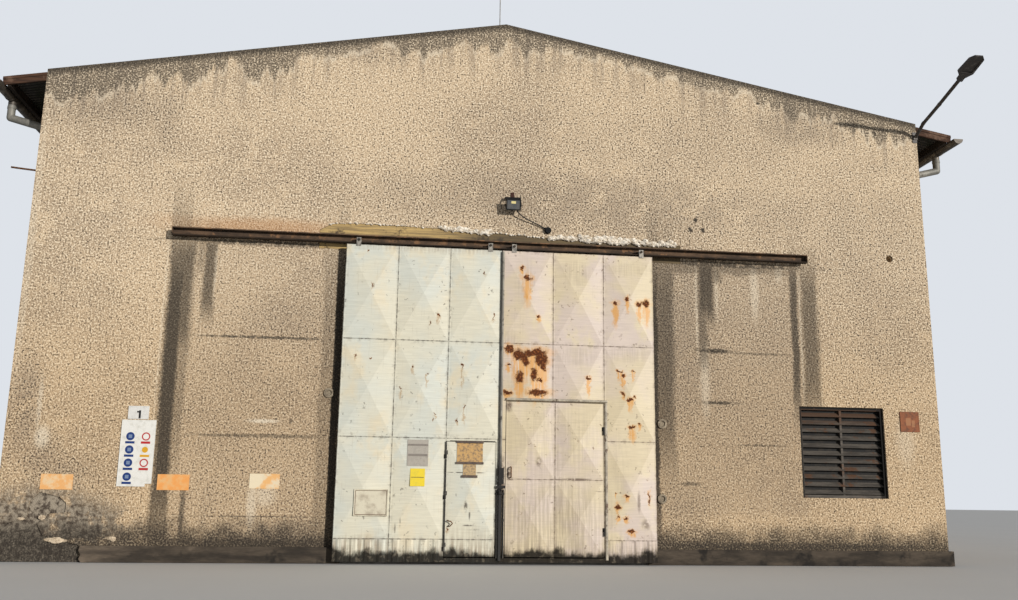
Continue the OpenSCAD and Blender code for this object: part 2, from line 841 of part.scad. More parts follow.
// Pressed panel with a flat rim and a pyramid that stands out to the front
module pressed_panel(x0, x1, z0, z1) {
    t = panel_t;
    r = panel_rim;
    w = x1 - x0;
    h = z1 - z0;
    function ring(inset, y) =
        [[inset, y, inset], [w - inset, y, inset], [w - inset, y, h - inset], [inset, y, h - inset]];
    points = concat(
        ring(0, 0), ring(r, 0), [[w / 2, -pyramid_h, h / 2]],
        ring(0, t), ring(r, t), [[w / 2, t - pyramid_h, h / 2]]
    );
    front_rim = [for (i = [0 : 3]) [4 + i, 4 + (i + 1) % 4, (i + 1) % 4, i]];
    front_faces = [for (i = [0 : 3]) [8, 4 + (i + 1) % 4, 4 + i]];
    back_rim = [for (i = [0 : 3]) [13 + (i + 1) % 4, 13 + i, 9 + i, 9 + (i + 1) % 4]];
    back_faces = [for (i = [0 : 3]) [17, 13 + i, 13 + (i + 1) % 4]];
    sides = [for (i = [0 : 3]) [(i + 1) % 4, 9 + (i + 1) % 4, 9 + i, i]];
    translate([x0, leaf_y, z0])
        polyhedron(points, concat(front_rim, front_faces, back_rim, back_faces, sides));
}

// Ribbed kick sheet under a panel
module kick_sheet(x0, x1) {
    ribs = floor((x1 - x0) / rib_pitch);
    step = (x1 - x0) / ribs;
    front = [for (i = [0 : ribs - 1], p = [[0, 0], [0.2, 0], [0.35, -rib_h], [0.65, -rib_h], [0.8, 0]])
        [x0 + (i + p[0]) * step, p[1]]];
    edge = concat(front, [[x1, 0]]);
    count = len(edge);
    translate([0, leaf_y, leaf_z0]) linear_extrude(kick_top - leaf_z0 - seam / 2)
        polygon(concat(edge, [for (i = [0 : count - 1]) edge[count - 1 - i] + [0, panel_t]]));
}

function col_x(x0, i) = x0 + i * col_w;
function row_z(i) = kick_top + i * row_h;

// Panel of one column and row of a leaf
module leaf_panel(x0, col, row) {
    pressed_panel(col_x(x0, col) + seam / 2, col_x(x0, col + 1) - seam / 2,
                  row_z(row) + seam / 2, row_z(row + 1) - seam / 2);
}

// Hanger plate with an axle and a roller that runs in the rail
hanger_w = 60;
module hanger(x) {
    translate([x, 0, 0]) {
        block(-hanger_w / 2, hanger_w / 2, leaf_y - 8, leaf_y,
              leaf_top - seam / 2 - panel_rim, roller_z + 30);
        translate([0, roller_y + 10, roller_z]) rotate([90, 0, 0]) cylinder(d = roller_d, h = 20);
        translate([0, roller_y, roller_z]) rotate([90, 0, 0]) cylinder(d = 20, h = roller_y - leaf_y + 4);
    }
}

// Hinge plates lie on the flat rims of the panels beside the pin
hinge_plate_t = 6;
hatch_pin_x = hatch_x0 - door_gap / 2;
wicket_pin_x = wicket_x1 + door_gap / 2;
hatch_hinge_z = [210, 830, 1330];
wicket_hinge_z = [400, 1660];
door_reach = door_gap / 2 + panel_rim;
hatch_jamb_reach = hatch_pin_x - (col_x(left_x0, 2) - seam / 2 - panel_rim);
wicket_jamb_reach = col_x(right_x0, 2) + seam / 2 + panel_rim - wicket_pin_x;

// Barrel of a hinge with its plate on the +X or -X side
module hinge_half(reach, dir) {
    cylinder(d = barrel_d, h = hinge_h);
    mirror([dir < 0 ? 1 : 0, 0, 0])
        translate([0, barrel_out - hinge_plate_t, 0]) cube([reach, hinge_plate_t, hinge_h]);
}

// Lower half of a lift-off hinge, welded to the leaf with its pin upwards
module hinge_lower(x, z, reach, dir) {
    translate([x, pin_y, z - hinge_h]) {
        hinge_half(reach, dir);
        cylinder(d = barrel_d / 2, h = 1.8 * hinge_h);
    }
}

// Upper half of a hinge, on the small door, with its bore downwards
module hinge_upper(x, z, dir) {
    translate([x, pin_y, z + hinge_gap]) difference() {
        hinge_half(door_reach, dir);
        translate([0, 0, -1]) cylinder(d = barrel_d / 2 + 1, h = hinge_h - hinge_plate_t + 1);
    }
}

module left_leaf_frame() {
    color("lightgray")
        tube_frame(left_x0, col_x(left_x0, 2), leaf_z0, leaf_top, tube, [col_x(left_x0, 1)],
                   [row_z(0), row_z(1), row_z(2)]);
}

// Frame of the column that holds the hatch door, bolted to the rest of the left leaf
module hatch_surround() {
    color("lightgray") difference() {
        tube_frame(col_x(left_x0, 2), left_x1, leaf_z0, leaf_top, tube, [], [row_z(1), row_z(2)]);
        block(col_x(left_x0, 2) - 1, hatch_x1 + door_gap, frame_y - 1, frame_y + tube + 1,
              min(door_z0 - door_gap, leaf_z0 + tube), hatch_top + door_gap);
    }
}

// Lock rod in guides on the frame beside the meeting edge, below the hasp
lock_rod_d = 20;
hasp_z = 925;
module lock_rod(x) {
    translate([x, frame_y - lock_rod_d / 2 - 1, leaf_z0 + tube])
        cylinder(d = lock_rod_d, h = hasp_z - leaf_z0 - tube - 20);
    for (z = [200, 520, 840])
        block(x - lock_rod_d / 2 - 2, x + lock_rod_d / 2 + 2, frame_y - lock_rod_d - 3, frame_y, z, z + 30);
}

module left_leaf_panels() {
    color("beige") {
        for (row = [1, 2], col = [0 : 2]) leaf_panel(left_x0, col, row);
        for (col = [0, 1]) {
            leaf_panel(left_x0, col, 0);
            kick_sheet(col_x(left_x0, col) + seam / 2, col_x(left_x0, col + 1) - seam / 2);
        }
    }
}

module left_leaf_fittings() {
    color("dimgray") {
        for (x = [left_x0 + hanger_inset, left_x1 - hanger_inset]) hanger(x);
        for (z = hatch_hinge_z) hinge_lower(hatch_pin_x, z, hatch_jamb_reach, -1);
        lock_rod(left_x1 - 24);
    }
}

module hatch_frame() {
    color("lightgray") tube_frame(hatch_x0, hatch_x1, door_z0, hatch_top, door_tube, [], [kick_top]);
}

module hatch_panels() {
    color("beige") {
        pressed_panel(hatch_x0, hatch_x1, kick_top + seam / 2, hatch_top);
        block(hatch_x0, hatch_x1, leaf_y, leaf_y + panel_t, door_z0, kick_top - seam / 2);
    }
}

// Pipe over each length of the hatch's pin line, from one hinge up to the next
hinge_pipe_d = 18;
module hatch_hinges() {
    last = len(hatch_hinge_z) - 1;
    color("dimgray") for (i = [0 : last]) {
        foot = hatch_hinge_z[i] + hinge_gap + hinge_h;
        head = i < last ? hatch_hinge_z[i + 1] - hinge_h - door_gap : hatch_top;
        hinge_upper(hatch_pin_x, hatch_hinge_z[i], 1);
        translate([hatch_pin_x, pin_y, foot - 1]) cylinder(d = hinge_pipe_d, h = head - foot + 1);
    }
}

module right_leaf_frame() {
    wx0 = wicket_x0 - door_gap;
    wx1 = wicket_x1 + door_gap;
    wz1 = wicket_top + door_gap;
    color("lightgray") difference() {
        union() {
            tube_frame(right_x0, right_x1, leaf_z0, leaf_top, tube, [col_x(right_x0, 1), col_x(right_x0, 2)],
                       [row_z(0), row_z(1), wz1 + tube / 2, row_z(2)]);
            block(right_x0 + tube - 1, wx0, frame_y, frame_y + tube, leaf_z0 + tube - 1, wz1);
        }
        block(wx0, wx1, frame_y - 1, frame_y + tube + 1, door_z0 - door_gap, wz1);
    }
}

// The two panels over the wicket are full ones cut off at its head
module right_leaf_panels() {
    color("beige") {
        for (col = [0 : 2]) leaf_panel(right_x0, col, 2);
        for (row = [0, 1]) leaf_panel(right_x0, 2, row);
        kick_sheet(col_x(right_x0, 2) + seam / 2, right_x1 - seam / 2);
        intersection() {
            union() for (col = [0, 1]) leaf_panel(right_x0, col, 1);
            block(right_x0, right_x1, leaf_y - 2 * pyramid_h, front_y, wicket_top + 2 * door_gap, leaf_top);
        }
    }
}

module right_leaf_fittings() {
    color("dimgray") {
        for (x = [right_x0 + hanger_inset, right_x1 - hanger_inset]) hanger(x);
        for (z = wicket_hinge_z) hinge_lower(wicket_pin_x, z, wicket_jamb_reach, 1);
        lock_rod(right_x0 + 47);
        // Hasp and lock case on the cover strip
        block(left_x1 - 36, right_x0 + 66, strip_y1 - 8, strip_y1, hasp_z, hasp_z + 30);
        block(strip_x0 + 2, right_x0 + 48, strip_y1 - 22, strip_y1, hasp_z + 50, hasp_z + 250);
    }
}

// Cover strip over the gap between the leaves, carried by the right leaf
strip_lap = 8;
strip_play = 6;
strip_d = 22;
strip_x0 = left_x1 - strip_lap;
strip_x1 = right_x0 + 24;
strip_y0 = leaf_y - strip_play;
strip_y1 = strip_y0 - strip_d;
module meeting_strip() {
    edge = strip_d / 3;
    rim_x0 = right_x0 + seam / 2;
    color("beige") translate([0, 0, leaf_z0 + 20]) linear_extrude(leaf_top - leaf_z0 - 40) polygon([
        [strip_x0, strip_y0], [strip_x0, strip_y1 + edge], [strip_x0 + edge, strip_y1],
        [strip_x1 - edge, strip_y1], [strip_x1, strip_y1 + edge], [strip_x1, strip_y0],
        [rim_x0 + panel_rim - 2, strip_y0], [rim_x0 + panel_rim - 2, leaf_y], [rim_x0 + 1, leaf_y],
        [rim_x0 + 1, strip_y0]
    ]);
}

wicket_mid_x = (wicket_x0 + wicket_x1) / 2;
wicket_mid_z = 1036;

module wicket_frame() {
    color("lightgray")
        tube_frame(wicket_x0, wicket_x1, door_z0, wicket_top, door_tube, [wicket_mid_x], [wicket_mid_z]);
}

module wicket_panels() {
    color("beige") for (x = [[wicket_x0, wicket_mid_x - seam / 2], [wicket_mid_x + seam / 2, wicket_x1]],
                        z = [[door_z0, wicket_mid_z - seam / 2], [wicket_mid_z + seam / 2, wicket_top]])
        pressed_panel(x[0], x[1], z[0], z[1]);
}

module wicket_hinges() {
    color("dimgray") for (z = wicket_hinge_z) hinge_upper(wicket_pin_x, z, -1);
}

floor_slab();
front_wall_left();
front_wall_right();
front_gable();
back_wall();
left_wall();
right_wall();
inner_piers();
plinth_front();
plinth_sides();
roof_left();
roof_right();
ridge_cap();
verge_boards();
eaves_frame_left();
eaves_frame_right();
purlins_left();
purlins_right();
roof_trusses();
gutter_left();
gutter_right();
gutter_brackets();
downpipe_left();
downpipe_right();
gate_rail();
rail_brackets();
lintel_board();
floodlight();
junction_box();
lamp_arm();
lamp_head();
front_louvre();
side_louvres();
lightning_rod();
left_leaf_frame();
hatch_surround();
left_leaf_panels();
left_leaf_fittings();
hatch_frame();
hatch_panels();
hatch_hinges();
right_leaf_frame();
right_leaf_panels();
right_leaf_fittings();
meeting_strip();
wicket_frame();
wicket_panels();
wicket_hinges();
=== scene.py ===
# Factory hall with a sliding gate: finishes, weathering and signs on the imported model
import bmesh
import bpy
import math
import random
from mathutils import Matrix, Vector


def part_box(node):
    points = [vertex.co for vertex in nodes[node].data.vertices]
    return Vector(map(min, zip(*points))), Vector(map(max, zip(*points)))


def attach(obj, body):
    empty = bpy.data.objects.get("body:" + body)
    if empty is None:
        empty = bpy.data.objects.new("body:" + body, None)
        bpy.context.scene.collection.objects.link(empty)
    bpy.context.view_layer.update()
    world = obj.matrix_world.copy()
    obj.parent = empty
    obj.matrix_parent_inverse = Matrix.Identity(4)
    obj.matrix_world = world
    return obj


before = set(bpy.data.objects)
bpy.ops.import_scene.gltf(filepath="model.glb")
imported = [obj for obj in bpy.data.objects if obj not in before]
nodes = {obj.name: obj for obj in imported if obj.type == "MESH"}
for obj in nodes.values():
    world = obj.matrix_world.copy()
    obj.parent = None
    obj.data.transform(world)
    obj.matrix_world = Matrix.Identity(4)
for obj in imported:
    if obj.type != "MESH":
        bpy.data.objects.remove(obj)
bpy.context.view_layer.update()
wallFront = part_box("front_wall_left")[0].y
print("frame loaded")

# camera: place in metres, angles in degrees, fitted to the corners of the front
cameraSetup = {
    "place": (-1.4111, -24.1742, 0.8179),
    "turnRight": 7.017,
    "tiltUp": 11.713,
    "roll": 0.758,
    "lens": 33.62,
    "sensor": 36.0,
}


def makeCamera(setup):
    yaw, tilt, roll = (math.radians(setup[key]) for key in ("turnRight", "tiltUp", "roll"))
    ahead = Vector((math.sin(yaw) * math.cos(tilt), math.cos(yaw) * math.cos(tilt), math.sin(tilt)))
    level = Vector((math.cos(yaw), -math.sin(yaw), 0))
    above = level.cross(ahead)
    right = math.cos(roll) * level + math.sin(roll) * above
    up = math.cos(roll) * above - math.sin(roll) * level
    data = bpy.data.cameras.new("camera")
    data.lens = setup["lens"]
    data.sensor_width = setup["sensor"]
    data.clip_end = 500
    camera = bpy.data.objects.new("camera", data)
    turned = Matrix((right, up, -ahead)).transposed().to_4x4()
    camera.matrix_world = Matrix.Translation(setup["place"]) @ turned
    bpy.context.scene.collection.objects.link(camera)
    bpy.context.scene.camera = camera


makeCamera(cameraSetup)
print("camera placed")

# light: one low soft key from the right of the front, and an even pale surround
lightSetup = {
    "keyFrom": (0.579, -0.797, 0.174),
    "keyStrength": 3.5,
    "keySoftness": 1.2,
    "keyColour": (1.0, 0.96, 0.9),
    "surround": (0.86, 0.9, 0.96),
    "surroundStrength": 0.35,
    "backdropStrength": 0.85,
    "floorReach": 90,
    "floorDrop": 0.004,
    "floorTones": ((0.58, 0.575, 0.56), (0.62, 0.615, 0.6)),
}


def makeLight(setup):
    data = bpy.data.lights.new("key", "SUN")
    data.energy = setup["keyStrength"]
    data.angle = math.radians(setup["keySoftness"])
    data.color = setup["keyColour"]
    key = bpy.data.objects.new("key", data)
    key.rotation_euler = Vector(setup["keyFrom"]).to_track_quat("Z", "Y").to_euler()
    bpy.context.scene.collection.objects.link(key)
    world = bpy.data.worlds.new("surround")
    world.use_nodes = True
    bpy.context.scene.world = world
    tree = world.node_tree
    tree.nodes["Background"].inputs[0].default_value = (*setup["surround"], 1)
    tree.nodes["Background"].inputs[1].default_value = setup["surroundStrength"]
    seen = tree.nodes.new("ShaderNodeBackground")
    seen.inputs[0].default_value = (*setup["surround"], 1)
    seen.inputs[1].default_value = setup["backdropStrength"]
    ray = tree.nodes.new("ShaderNodeLightPath")
    pick = tree.nodes.new("ShaderNodeMixShader")
    tree.links.new(ray.outputs["Is Camera Ray"], pick.inputs[0])
    tree.links.new(tree.nodes["Background"].outputs[0], pick.inputs[1])
    tree.links.new(seen.outputs[0], pick.inputs[2])
    tree.links.new(pick.outputs[0], tree.nodes["World Output"].inputs[0])
    bpy.context.scene.view_settings.view_transform = "Standard"


makeLight(lightSetup)


# node helpers: they work on the material begun last, and their values may be numbers, colours,
# places or the sockets of other nodes
current = {"tree": None}


def put(kind, values=(), **settings):
    tree = current["tree"]
    made = tree.nodes.new("ShaderNode" + kind)
    for name, setting in settings.items():
        setattr(made, name, setting)
    for slot, value in enumerate(values):
        if isinstance(value, bpy.types.NodeSocket):
            tree.links.new(value, made.inputs[slot])
        elif value is not None:
            made.inputs[slot].default_value = value
    return made


def calc(operation, *values):
    return put("Math", values, operation=operation).outputs[0]


def times(first, *others):
    for other in others:
        first = calc("MULTIPLY", first, other)
    return first


def most(first, *others):
    for other in others:
        first = calc("MAXIMUM", first, other)
    return first


def move(operation, *values):
    return put("VectorMath", values, operation=operation).outputs[0]


def axes(place):
    return put("SeparateXYZ", (place,)).outputs


def spread(value, start, end, low, high):
    return put("MapRange", (value, start, end, low, high)).outputs[0]


# 0 at start and top at end, smooth between them; start may be the larger
def fade(value, start, end, top=1.0):
    return put("MapRange", (value, start, end, 0.0, top), interpolation_type="SMOOTHSTEP").outputs[0]


def grain(place, scale, detail=2.0, rough=0.5, stretch=None):
    if stretch:
        place = move("MULTIPLY", place, stretch)
    return put("TexNoise", (place, None, scale, detail, rough)).outputs["Fac"]


def cells(place, scale):
    return put("TexVoronoi", (place, None, scale)).outputs["Distance"]


# a place pushed about by noise read at source, by up to half of reach on each axis
def shake(place, source, scale, detail, rough, reach):
    shift = put("TexNoise", (source, None, scale, detail, rough)).outputs["Color"]
    shift = move("MULTIPLY", move("SUBTRACT", shift, (0.5, 0.5, 0.5)), reach)
    return move("ADD", place, shift)


def blend(amount, first, second, way="MIX"):
    first, second = ((*tone, 1) if isinstance(tone, tuple) else tone for tone in (first, second))
    values = (amount, None, None, None, None, None, first, second)
    return put("Mix", values, data_type="RGBA", blend_type=way, clamp_factor=True).outputs[2]


# the tint over the colour, as strong as the product of the amounts
def paint(colour, tint, *amounts):
    return blend(times(*amounts), colour, tint)


def scaleColour(colour, amount):
    return move("MULTIPLY", colour, put("CombineXYZ", (amount, amount, amount)).outputs[0])


# a soft-edged oval or box on the front at x, z: amount inside, 0 outside
def patch(place, x, z, halfWidth, halfHeight, amount=1.0, soft=0.35, box=False):
    offset = move("DIVIDE", move("SUBTRACT", place, (x, 0, z)), (halfWidth, 1, halfHeight))
    if box:
        parts = axes(move("ABSOLUTE", offset))
        reach = most(parts[0], parts[2])
    else:
        reach = put("VectorMath", (offset,), operation="LENGTH").outputs["Value"]
    return fade(reach, 1 + soft, 1 - soft, amount)


# the strongest of a list of marks at each point
def stack(place, marks, soft, box=False):
    return most(*(patch(place, *mark, soft=soft, box=box) for mark in marks))


def startMaterial(name, roughness, metallic=0.0):
    material = bpy.data.materials.new(name)
    material.use_nodes = True
    current["tree"] = material.node_tree
    shader = material.node_tree.nodes["Principled BSDF"]
    shader.inputs["Roughness"].default_value = roughness
    shader.inputs["Metallic"].default_value = metallic
    return material, shader, put("TexCoord").outputs["Object"]


def finishMaterial(shader, colour, height=None, depth=0.002, strength=0.5, roughness=None, shine=0.5):
    links = current["tree"].links
    links.new(colour, shader.inputs["Base Color"])
    if isinstance(shine, float):
        shader.inputs["Specular IOR Level"].default_value = shine
    else:
        links.new(shine, shader.inputs["Specular IOR Level"])
    if height is not None:
        bump = put("Bump")
        bump.inputs["Strength"].default_value = strength
        bump.inputs["Distance"].default_value = depth
        links.new(height, bump.inputs["Height"])
        links.new(bump.outputs[0], shader.inputs["Normal"])
    if roughness is not None:
        links.new(roughness, shader.inputs["Roughness"])


def dress(material, *names):
    for name in names:
        for slot in nodes[name].material_slots:
            slot.material = material


# render on the walls, with what the weather, the rail and the gate have left on the front, and painted
# shadows beside the gate leaves.
# A mark is x, z, half width, half height and amount, in metres on the front. Falls, heights and
# depths give where a mark starts and where it is full.
renderCoat = {
    "ridgeZ": 7.301,
    "pitch": math.tan(math.radians(10.4)),
    "light": (0.59, 0.455, 0.305),
    "dark": (0.45, 0.345, 0.235),
    "grit": (0.05, 0.041, 0.034),
    "stone": (0.86, 0.74, 0.56),
    "lowTint": (0.87, 0.82, 0.75),
    "sootAndShadow": (0.04, 0.034, 0.028),
    "moss": (0.105, 0.088, 0.068),
    "damp": (0.2, 0.16, 0.125),
    "lime": (0.68, 0.59, 0.455),
    "rust": (0.46, 0.235, 0.1),
    "cement": (0.31, 0.265, 0.205),
    "hollow": (0.07, 0.054, 0.042),
    "inside": (0.2, 0.19, 0.17),
    "grains": {  # scale, detail, roughness and stretch of each noise
        "speckle": (47.0, 2.0, 0.55),
        "clumps": (19.0, 3.0, 0.6),
        "broad": (0.55, 3.0, 0.55),
        "mottle": (3.5, 4.0, 0.6),
        "streaky": (1.0, 3.0, 0.6, (11.0, 11.0, 0.55)),
        "runs": (1.0, 2.0, 0.5, (1.7, 1.7, 0.1)),
        "drips": (1.0, 3.0, 0.65, (5.5, 5.5, 0.4)),
    },
    "fray": (30.0, 2.0, 0.6, (0.07, 0, 0.03)),
    "sway": (1.6, 4.0, 0.62, (0.09, 0, 0.22)),
    "stoneSize": 75.0,
    "frontDepths": (0.012, 0.002),  # only the outer face of the front has the marks
    "hollowDepths": ((0.006, 0.018), (0.03, 0.024)),
    "bandFall": (0.07, -0.05),
    "haloAt": 0.05,
    "haloFall": (0.07, 0.0),
    "veilFall": (0.75, 0.0),
    "rimFall": (0.13, 0.03),
    "lowHeights": (4.4, 1.4),
    "splashHeights": (0.28, -0.06),
    "roomHalf": (5.6, 11.6),
    "railRust": (-3.15, 4.2, 1.1, 0.11, 0.5),
    "zones": [(-3.05, 2.0, 0.98, 1.99, 0.16), (3.1, 2.3, 1.0, 1.68, 0.24)],
    "bareCorner": (-5.5, 0.42, 0.98, 0.42, 0.95),
    "bandDeep": [
        (-4.6, 6.4, 1.6, 1.2, 1.0), (-0.3, 7.2, 1.6, 0.8, 0.45), (4.9, 6.3, 1.2, 0.9, 0.85),
    ],
    # the strips at x -2.1 and 2.04 are painted shadows of the gate leaves on the wall, those at -2.22 and
    # 2.18 widen them with painted shadow and soot, the others are soot streaks
    "strips": [
        (-4.15, 2.2, 0.1, 1.9, 0.92), (-4.2, 2.6, 0.04, 1.5, 0.55), (-4.08, 3.3, 0.13, 0.75, 0.78),
        (-4.03, 2.6, 0.075, 1.45, 0.42), (-3.76, 3.55, 0.07, 0.55, 0.74),
        (-3.88, 3.8, 0.045, 0.22, 0.4), (2.78, 3.62, 0.1, 0.44, 0.84), (2.72, 3.05, 0.06, 0.45, 0.55),
        (2.85, 3.84, 0.14, 0.14, 0.55), (3.0, 3.91, 0.95, 0.08, 0.45), (4.01, 3.05, 0.05, 1.02, 0.8),
        (4.23, 3.0, 0.115, 1.0, 0.68), (2.04, 2.2, 0.06, 1.9, 0.95), (2.18, 2.7, 0.13, 1.4, 0.66),
        (-4.07, 0.62, 0.02, 0.22, 0.55), (-3.87, 0.55, 0.028, 0.3, 0.65), (-2.1, 2.0, 0.055, 2.0, 0.95),
        (-2.22, 2.0, 0.09, 1.9, 0.35),
    ],
    "scrapes": [
        (-3.05, 2.757, 0.8, 0.016, 0.85), (-2.97, 1.52, 0.84, 0.022, 0.62),
        (-2.95, 0.546, 0.75, 0.007, 0.75), (-3.1, 0.235, 1.0, 0.05, 0.7),
        (3.8, 0.235, 1.95, 0.045, 0.7), (2.86, 2.77, 0.24, 0.03, 0.92), (3.5, 2.75, 0.47, 0.014, 0.5),
        (2.92, 2.076, 0.25, 0.022, 0.8), (3.45, 1.528, 0.32, 0.012, 0.6),
        (2.5, 1.015, 0.14, 0.022, 0.6), (-3.1, 3.985, 1.15, 0.035, 0.8), (3.15, 3.96, 1.1, 0.045, 0.85),
        (5.35, 6.02, 0.03, 0.06, 0.8), (3.62, 6.36, 0.022, 0.022, 0.95),
    ],
    "dots": [
        (2.66, 4.58, 0.026, 0.036, 0.95), (2.58, 4.44, 0.028, 0.032, 0.95),
        (2.76, 4.44, 0.028, 0.036, 0.95), (-2.64, 1.71, 0.022, 0.03, 0.6),
    ],
    "clouds": [
        (-2.7, 2.98, 0.6, 0.24, 0.42), (1.2, 4.75, 2.6, 0.42, 0.85), (1.7, 5.45, 2.6, 0.8, 0.34),
        (5.2, 4.4, 0.8, 1.2, 0.38), (5.1, 3.0, 0.8, 0.8, 0.28), (2.42, 3.0, 0.36, 1.1, 0.75),
        (-2.7, 0.34, 0.6, 0.18, 0.6), (2.6, 5.15, 1.7, 0.36, 0.3), (5.5, 4.15, 0.2, 0.12, 0.35),
        (-1.83, 6.74, 0.4, 0.14, 0.6), (4.3, 6.02, 0.7, 0.26, 0.75), (5.35, 5.5, 0.5, 0.26, 0.3),
        (-5.25, 5.75, 0.7, 0.26, 0.55), (-4.45, 5.7, 0.16, 0.42, 0.55), (3.1, 2.7, 1.0, 1.2, 0.34),
        (-3.0, 1.6, 0.9, 1.2, 0.18), (-5.8, 1.86, 0.15, 0.5, 0.95), (-5.55, 1.2, 0.2, 0.24, 0.7),
        (-5.3, 1.06, 0.32, 0.18, 0.6), (-3.55, 0.58, 0.1, 0.34, 0.4), (-3.85, 0.6, 0.05, 0.34, 0.45),
        (-4.6, 0.42, 0.5, 0.16, 0.35), (2.4, 0.6, 0.4, 0.4, 0.35),
    ],
    "chalk": [
        (-2.975, 1.705, 0.17, 0.022, 0.9), (-3.05, 0.7, 0.055, 0.26, 0.6), (-2.9, 0.8, 0.12, 0.12, 0.5),
        (-4.29, 2.9, 0.012, 1.1, 0.45), (-3.69, 3.62, 0.014, 0.34, 0.6), (2.64, 3.4, 0.015, 0.62, 0.55),
        (2.92, 3.55, 0.025, 0.3, 0.45), (3.46, 3.62, 0.055, 0.36, 0.6), (3.81, 3.87, 0.05, 0.12, 0.45),
        (4.1, 3.1, 0.012, 0.95, 0.45), (2.73, 2.35, 0.06, 0.42, 0.45), (5.5, 1.62, 0.12, 0.3, 0.35),
        (-5.565, 1.46, 0.08, 0.12, 0.75), (-5.635, 1.86, 0.026, 0.28, 0.5),
        (-5.95, 4.0, 0.035, 1.6, 0.35), (3.3, 6.62, 0.11, 0.05, 0.55),
    ],
}


def makeRenderCoat(setup):
    material, shader, place = startMaterial("render", 0.95)
    x, y, z = axes(place)
    front = fade(y, *(wallFront + depth for depth in setup["frontDepths"]))
    level = put("CombineXYZ", (x, 0.0, z)).outputs[0]
    steady = shake(level, place, *setup["fray"])
    flat = shake(steady, level, *setup["sway"])
    speckle, clumps, broad, mottle, streaky, runs, drips = (
        grain(place, *values) for values in setup["grains"].values())

    colour = blend(fade(broad, 0.38, 0.62), setup["dark"], setup["light"])
    colour = paint(colour, setup["light"], fade(mottle, 0.45, 0.7))
    colour = paint(colour, setup["stone"], fade(speckle, 0.52, 0.62), 0.85)
    clouds = times(stack(flat, setup["clouds"], 0.85), front)
    gritty = calc("MULTIPLY_ADD", clouds, 0.8, times(fade(clumps, 0.3, 0.62), 0.85))
    colour = paint(colour, setup["grit"], fade(speckle, 0.475, 0.39), calc("MINIMUM", gritty, 1.0))

    # drop is the way down from the roof line, gap the way down from the foot of the dark band
    roofLine = calc("SUBTRACT", setup["ridgeZ"], times(calc("ABSOLUTE", x), setup["pitch"]))
    drop = calc("SUBTRACT", roofLine, z)
    deep = calc("MULTIPLY_ADD", stack(steady, setup["bandDeep"], 0.6), 0.75, 0.45)
    reach = calc("MULTIPLY_ADD", fade(drips, 0.4, 0.66), 0.24, times(fade(runs, 0.36, 0.66), 0.26))
    gap = calc("SUBTRACT", drop, calc("MULTIPLY_ADD", reach, deep, 0.06))
    band = times(fade(gap, *setup["bandFall"]), fade(clumps, 0.1, 0.42))
    halo = fade(calc("ABSOLUTE", calc("SUBTRACT", gap, setup["haloAt"])), *setup["haloFall"])
    veil = times(fade(gap, *setup["veilFall"]), fade(streaky, 0.44, 0.66))

    colour = blend(fade(z, *setup["lowHeights"]), colour, setup["lowTint"], "MULTIPLY")
    colour = paint(colour, setup["rust"], patch(flat, *setup["railRust"], soft=0.7), front)
    colour = paint(colour, setup["damp"], stack(steady, setup["zones"], 0.06, True), front)
    colour = paint(colour, setup["damp"], clouds, fade(mottle, 0.28, 0.6), 0.55)
    colour = paint(colour, setup["damp"], veil, 0.5)

    # soot strips and painted shadows of the gate leaves beside the opening, scrapes of the gate, lime
    # scuffs
    strips = times(stack(flat, setup["strips"], 0.45, True), fade(streaky, 0.0, 0.4))
    scrapes = times(stack(steady, setup["scrapes"], 0.55), fade(clumps, 0.26, 0.52))
    strips = most(strips, scrapes, stack(steady, setup["dots"], 0.4))
    chalk = times(stack(steady, setup["chalk"], 0.6), fade(speckle, 0.3, 0.5))
    colour = paint(colour, setup["lime"], halo, fade(mottle, 0.44, 0.6), 0.6)
    colour = paint(colour, setup["lime"], chalk, front)
    colour = paint(colour, setup["moss"], band, fade(speckle, 0.74, 0.36))
    colour = paint(colour, setup["sootAndShadow"], fade(drop, *setup["rimFall"]), 0.75)
    # the strips are painted in the soot and shadow tone: soot streaks, and painted shadow beside the gate
    # leaves
    colour = paint(colour, setup["sootAndShadow"], strips, fade(speckle, 1.5, 0.48), front)

    # bare cement at the left corner, the hollow where the render is gone, splash dirt at the foot
    bare = blend(fade(clumps, 0.36, 0.62), setup["hollow"], setup["cement"])
    colour = paint(colour, bare, patch(flat, *setup["bareCorner"]), fade(mottle, 0.38, 0.5), front)
    near, far = (fade(y, wallFront + start, wallFront + end) for start, end in setup["hollowDepths"])
    colour = paint(colour, bare, near, far)
    wavy = calc("MULTIPLY_ADD", mottle, -0.6, z)
    colour = paint(colour, setup["sootAndShadow"], fade(wavy, *setup["splashHeights"]), fade(speckle, 1.1, 0.3))

    # inside, the walls are plain and darker
    across, along = (fade(calc("ABSOLUTE", value), edge + 0.03, edge)
                     for value, edge in zip((x, y), setup["roomHalf"]))
    colour = paint(colour, setup["inside"], across, along)
    height = calc("SUBTRACT", speckle, times(cells(place, setup["stoneSize"]), 0.35))
    finishMaterial(shader, colour, height, 0.02, 0.6, shine=0.12)
    return material


coat = makeRenderCoat(renderCoat)
dress(coat, "front_wall_left", "front_wall_right", "front_gable", "back_wall", "left_wall", "right_wall")
print("walls rendered")

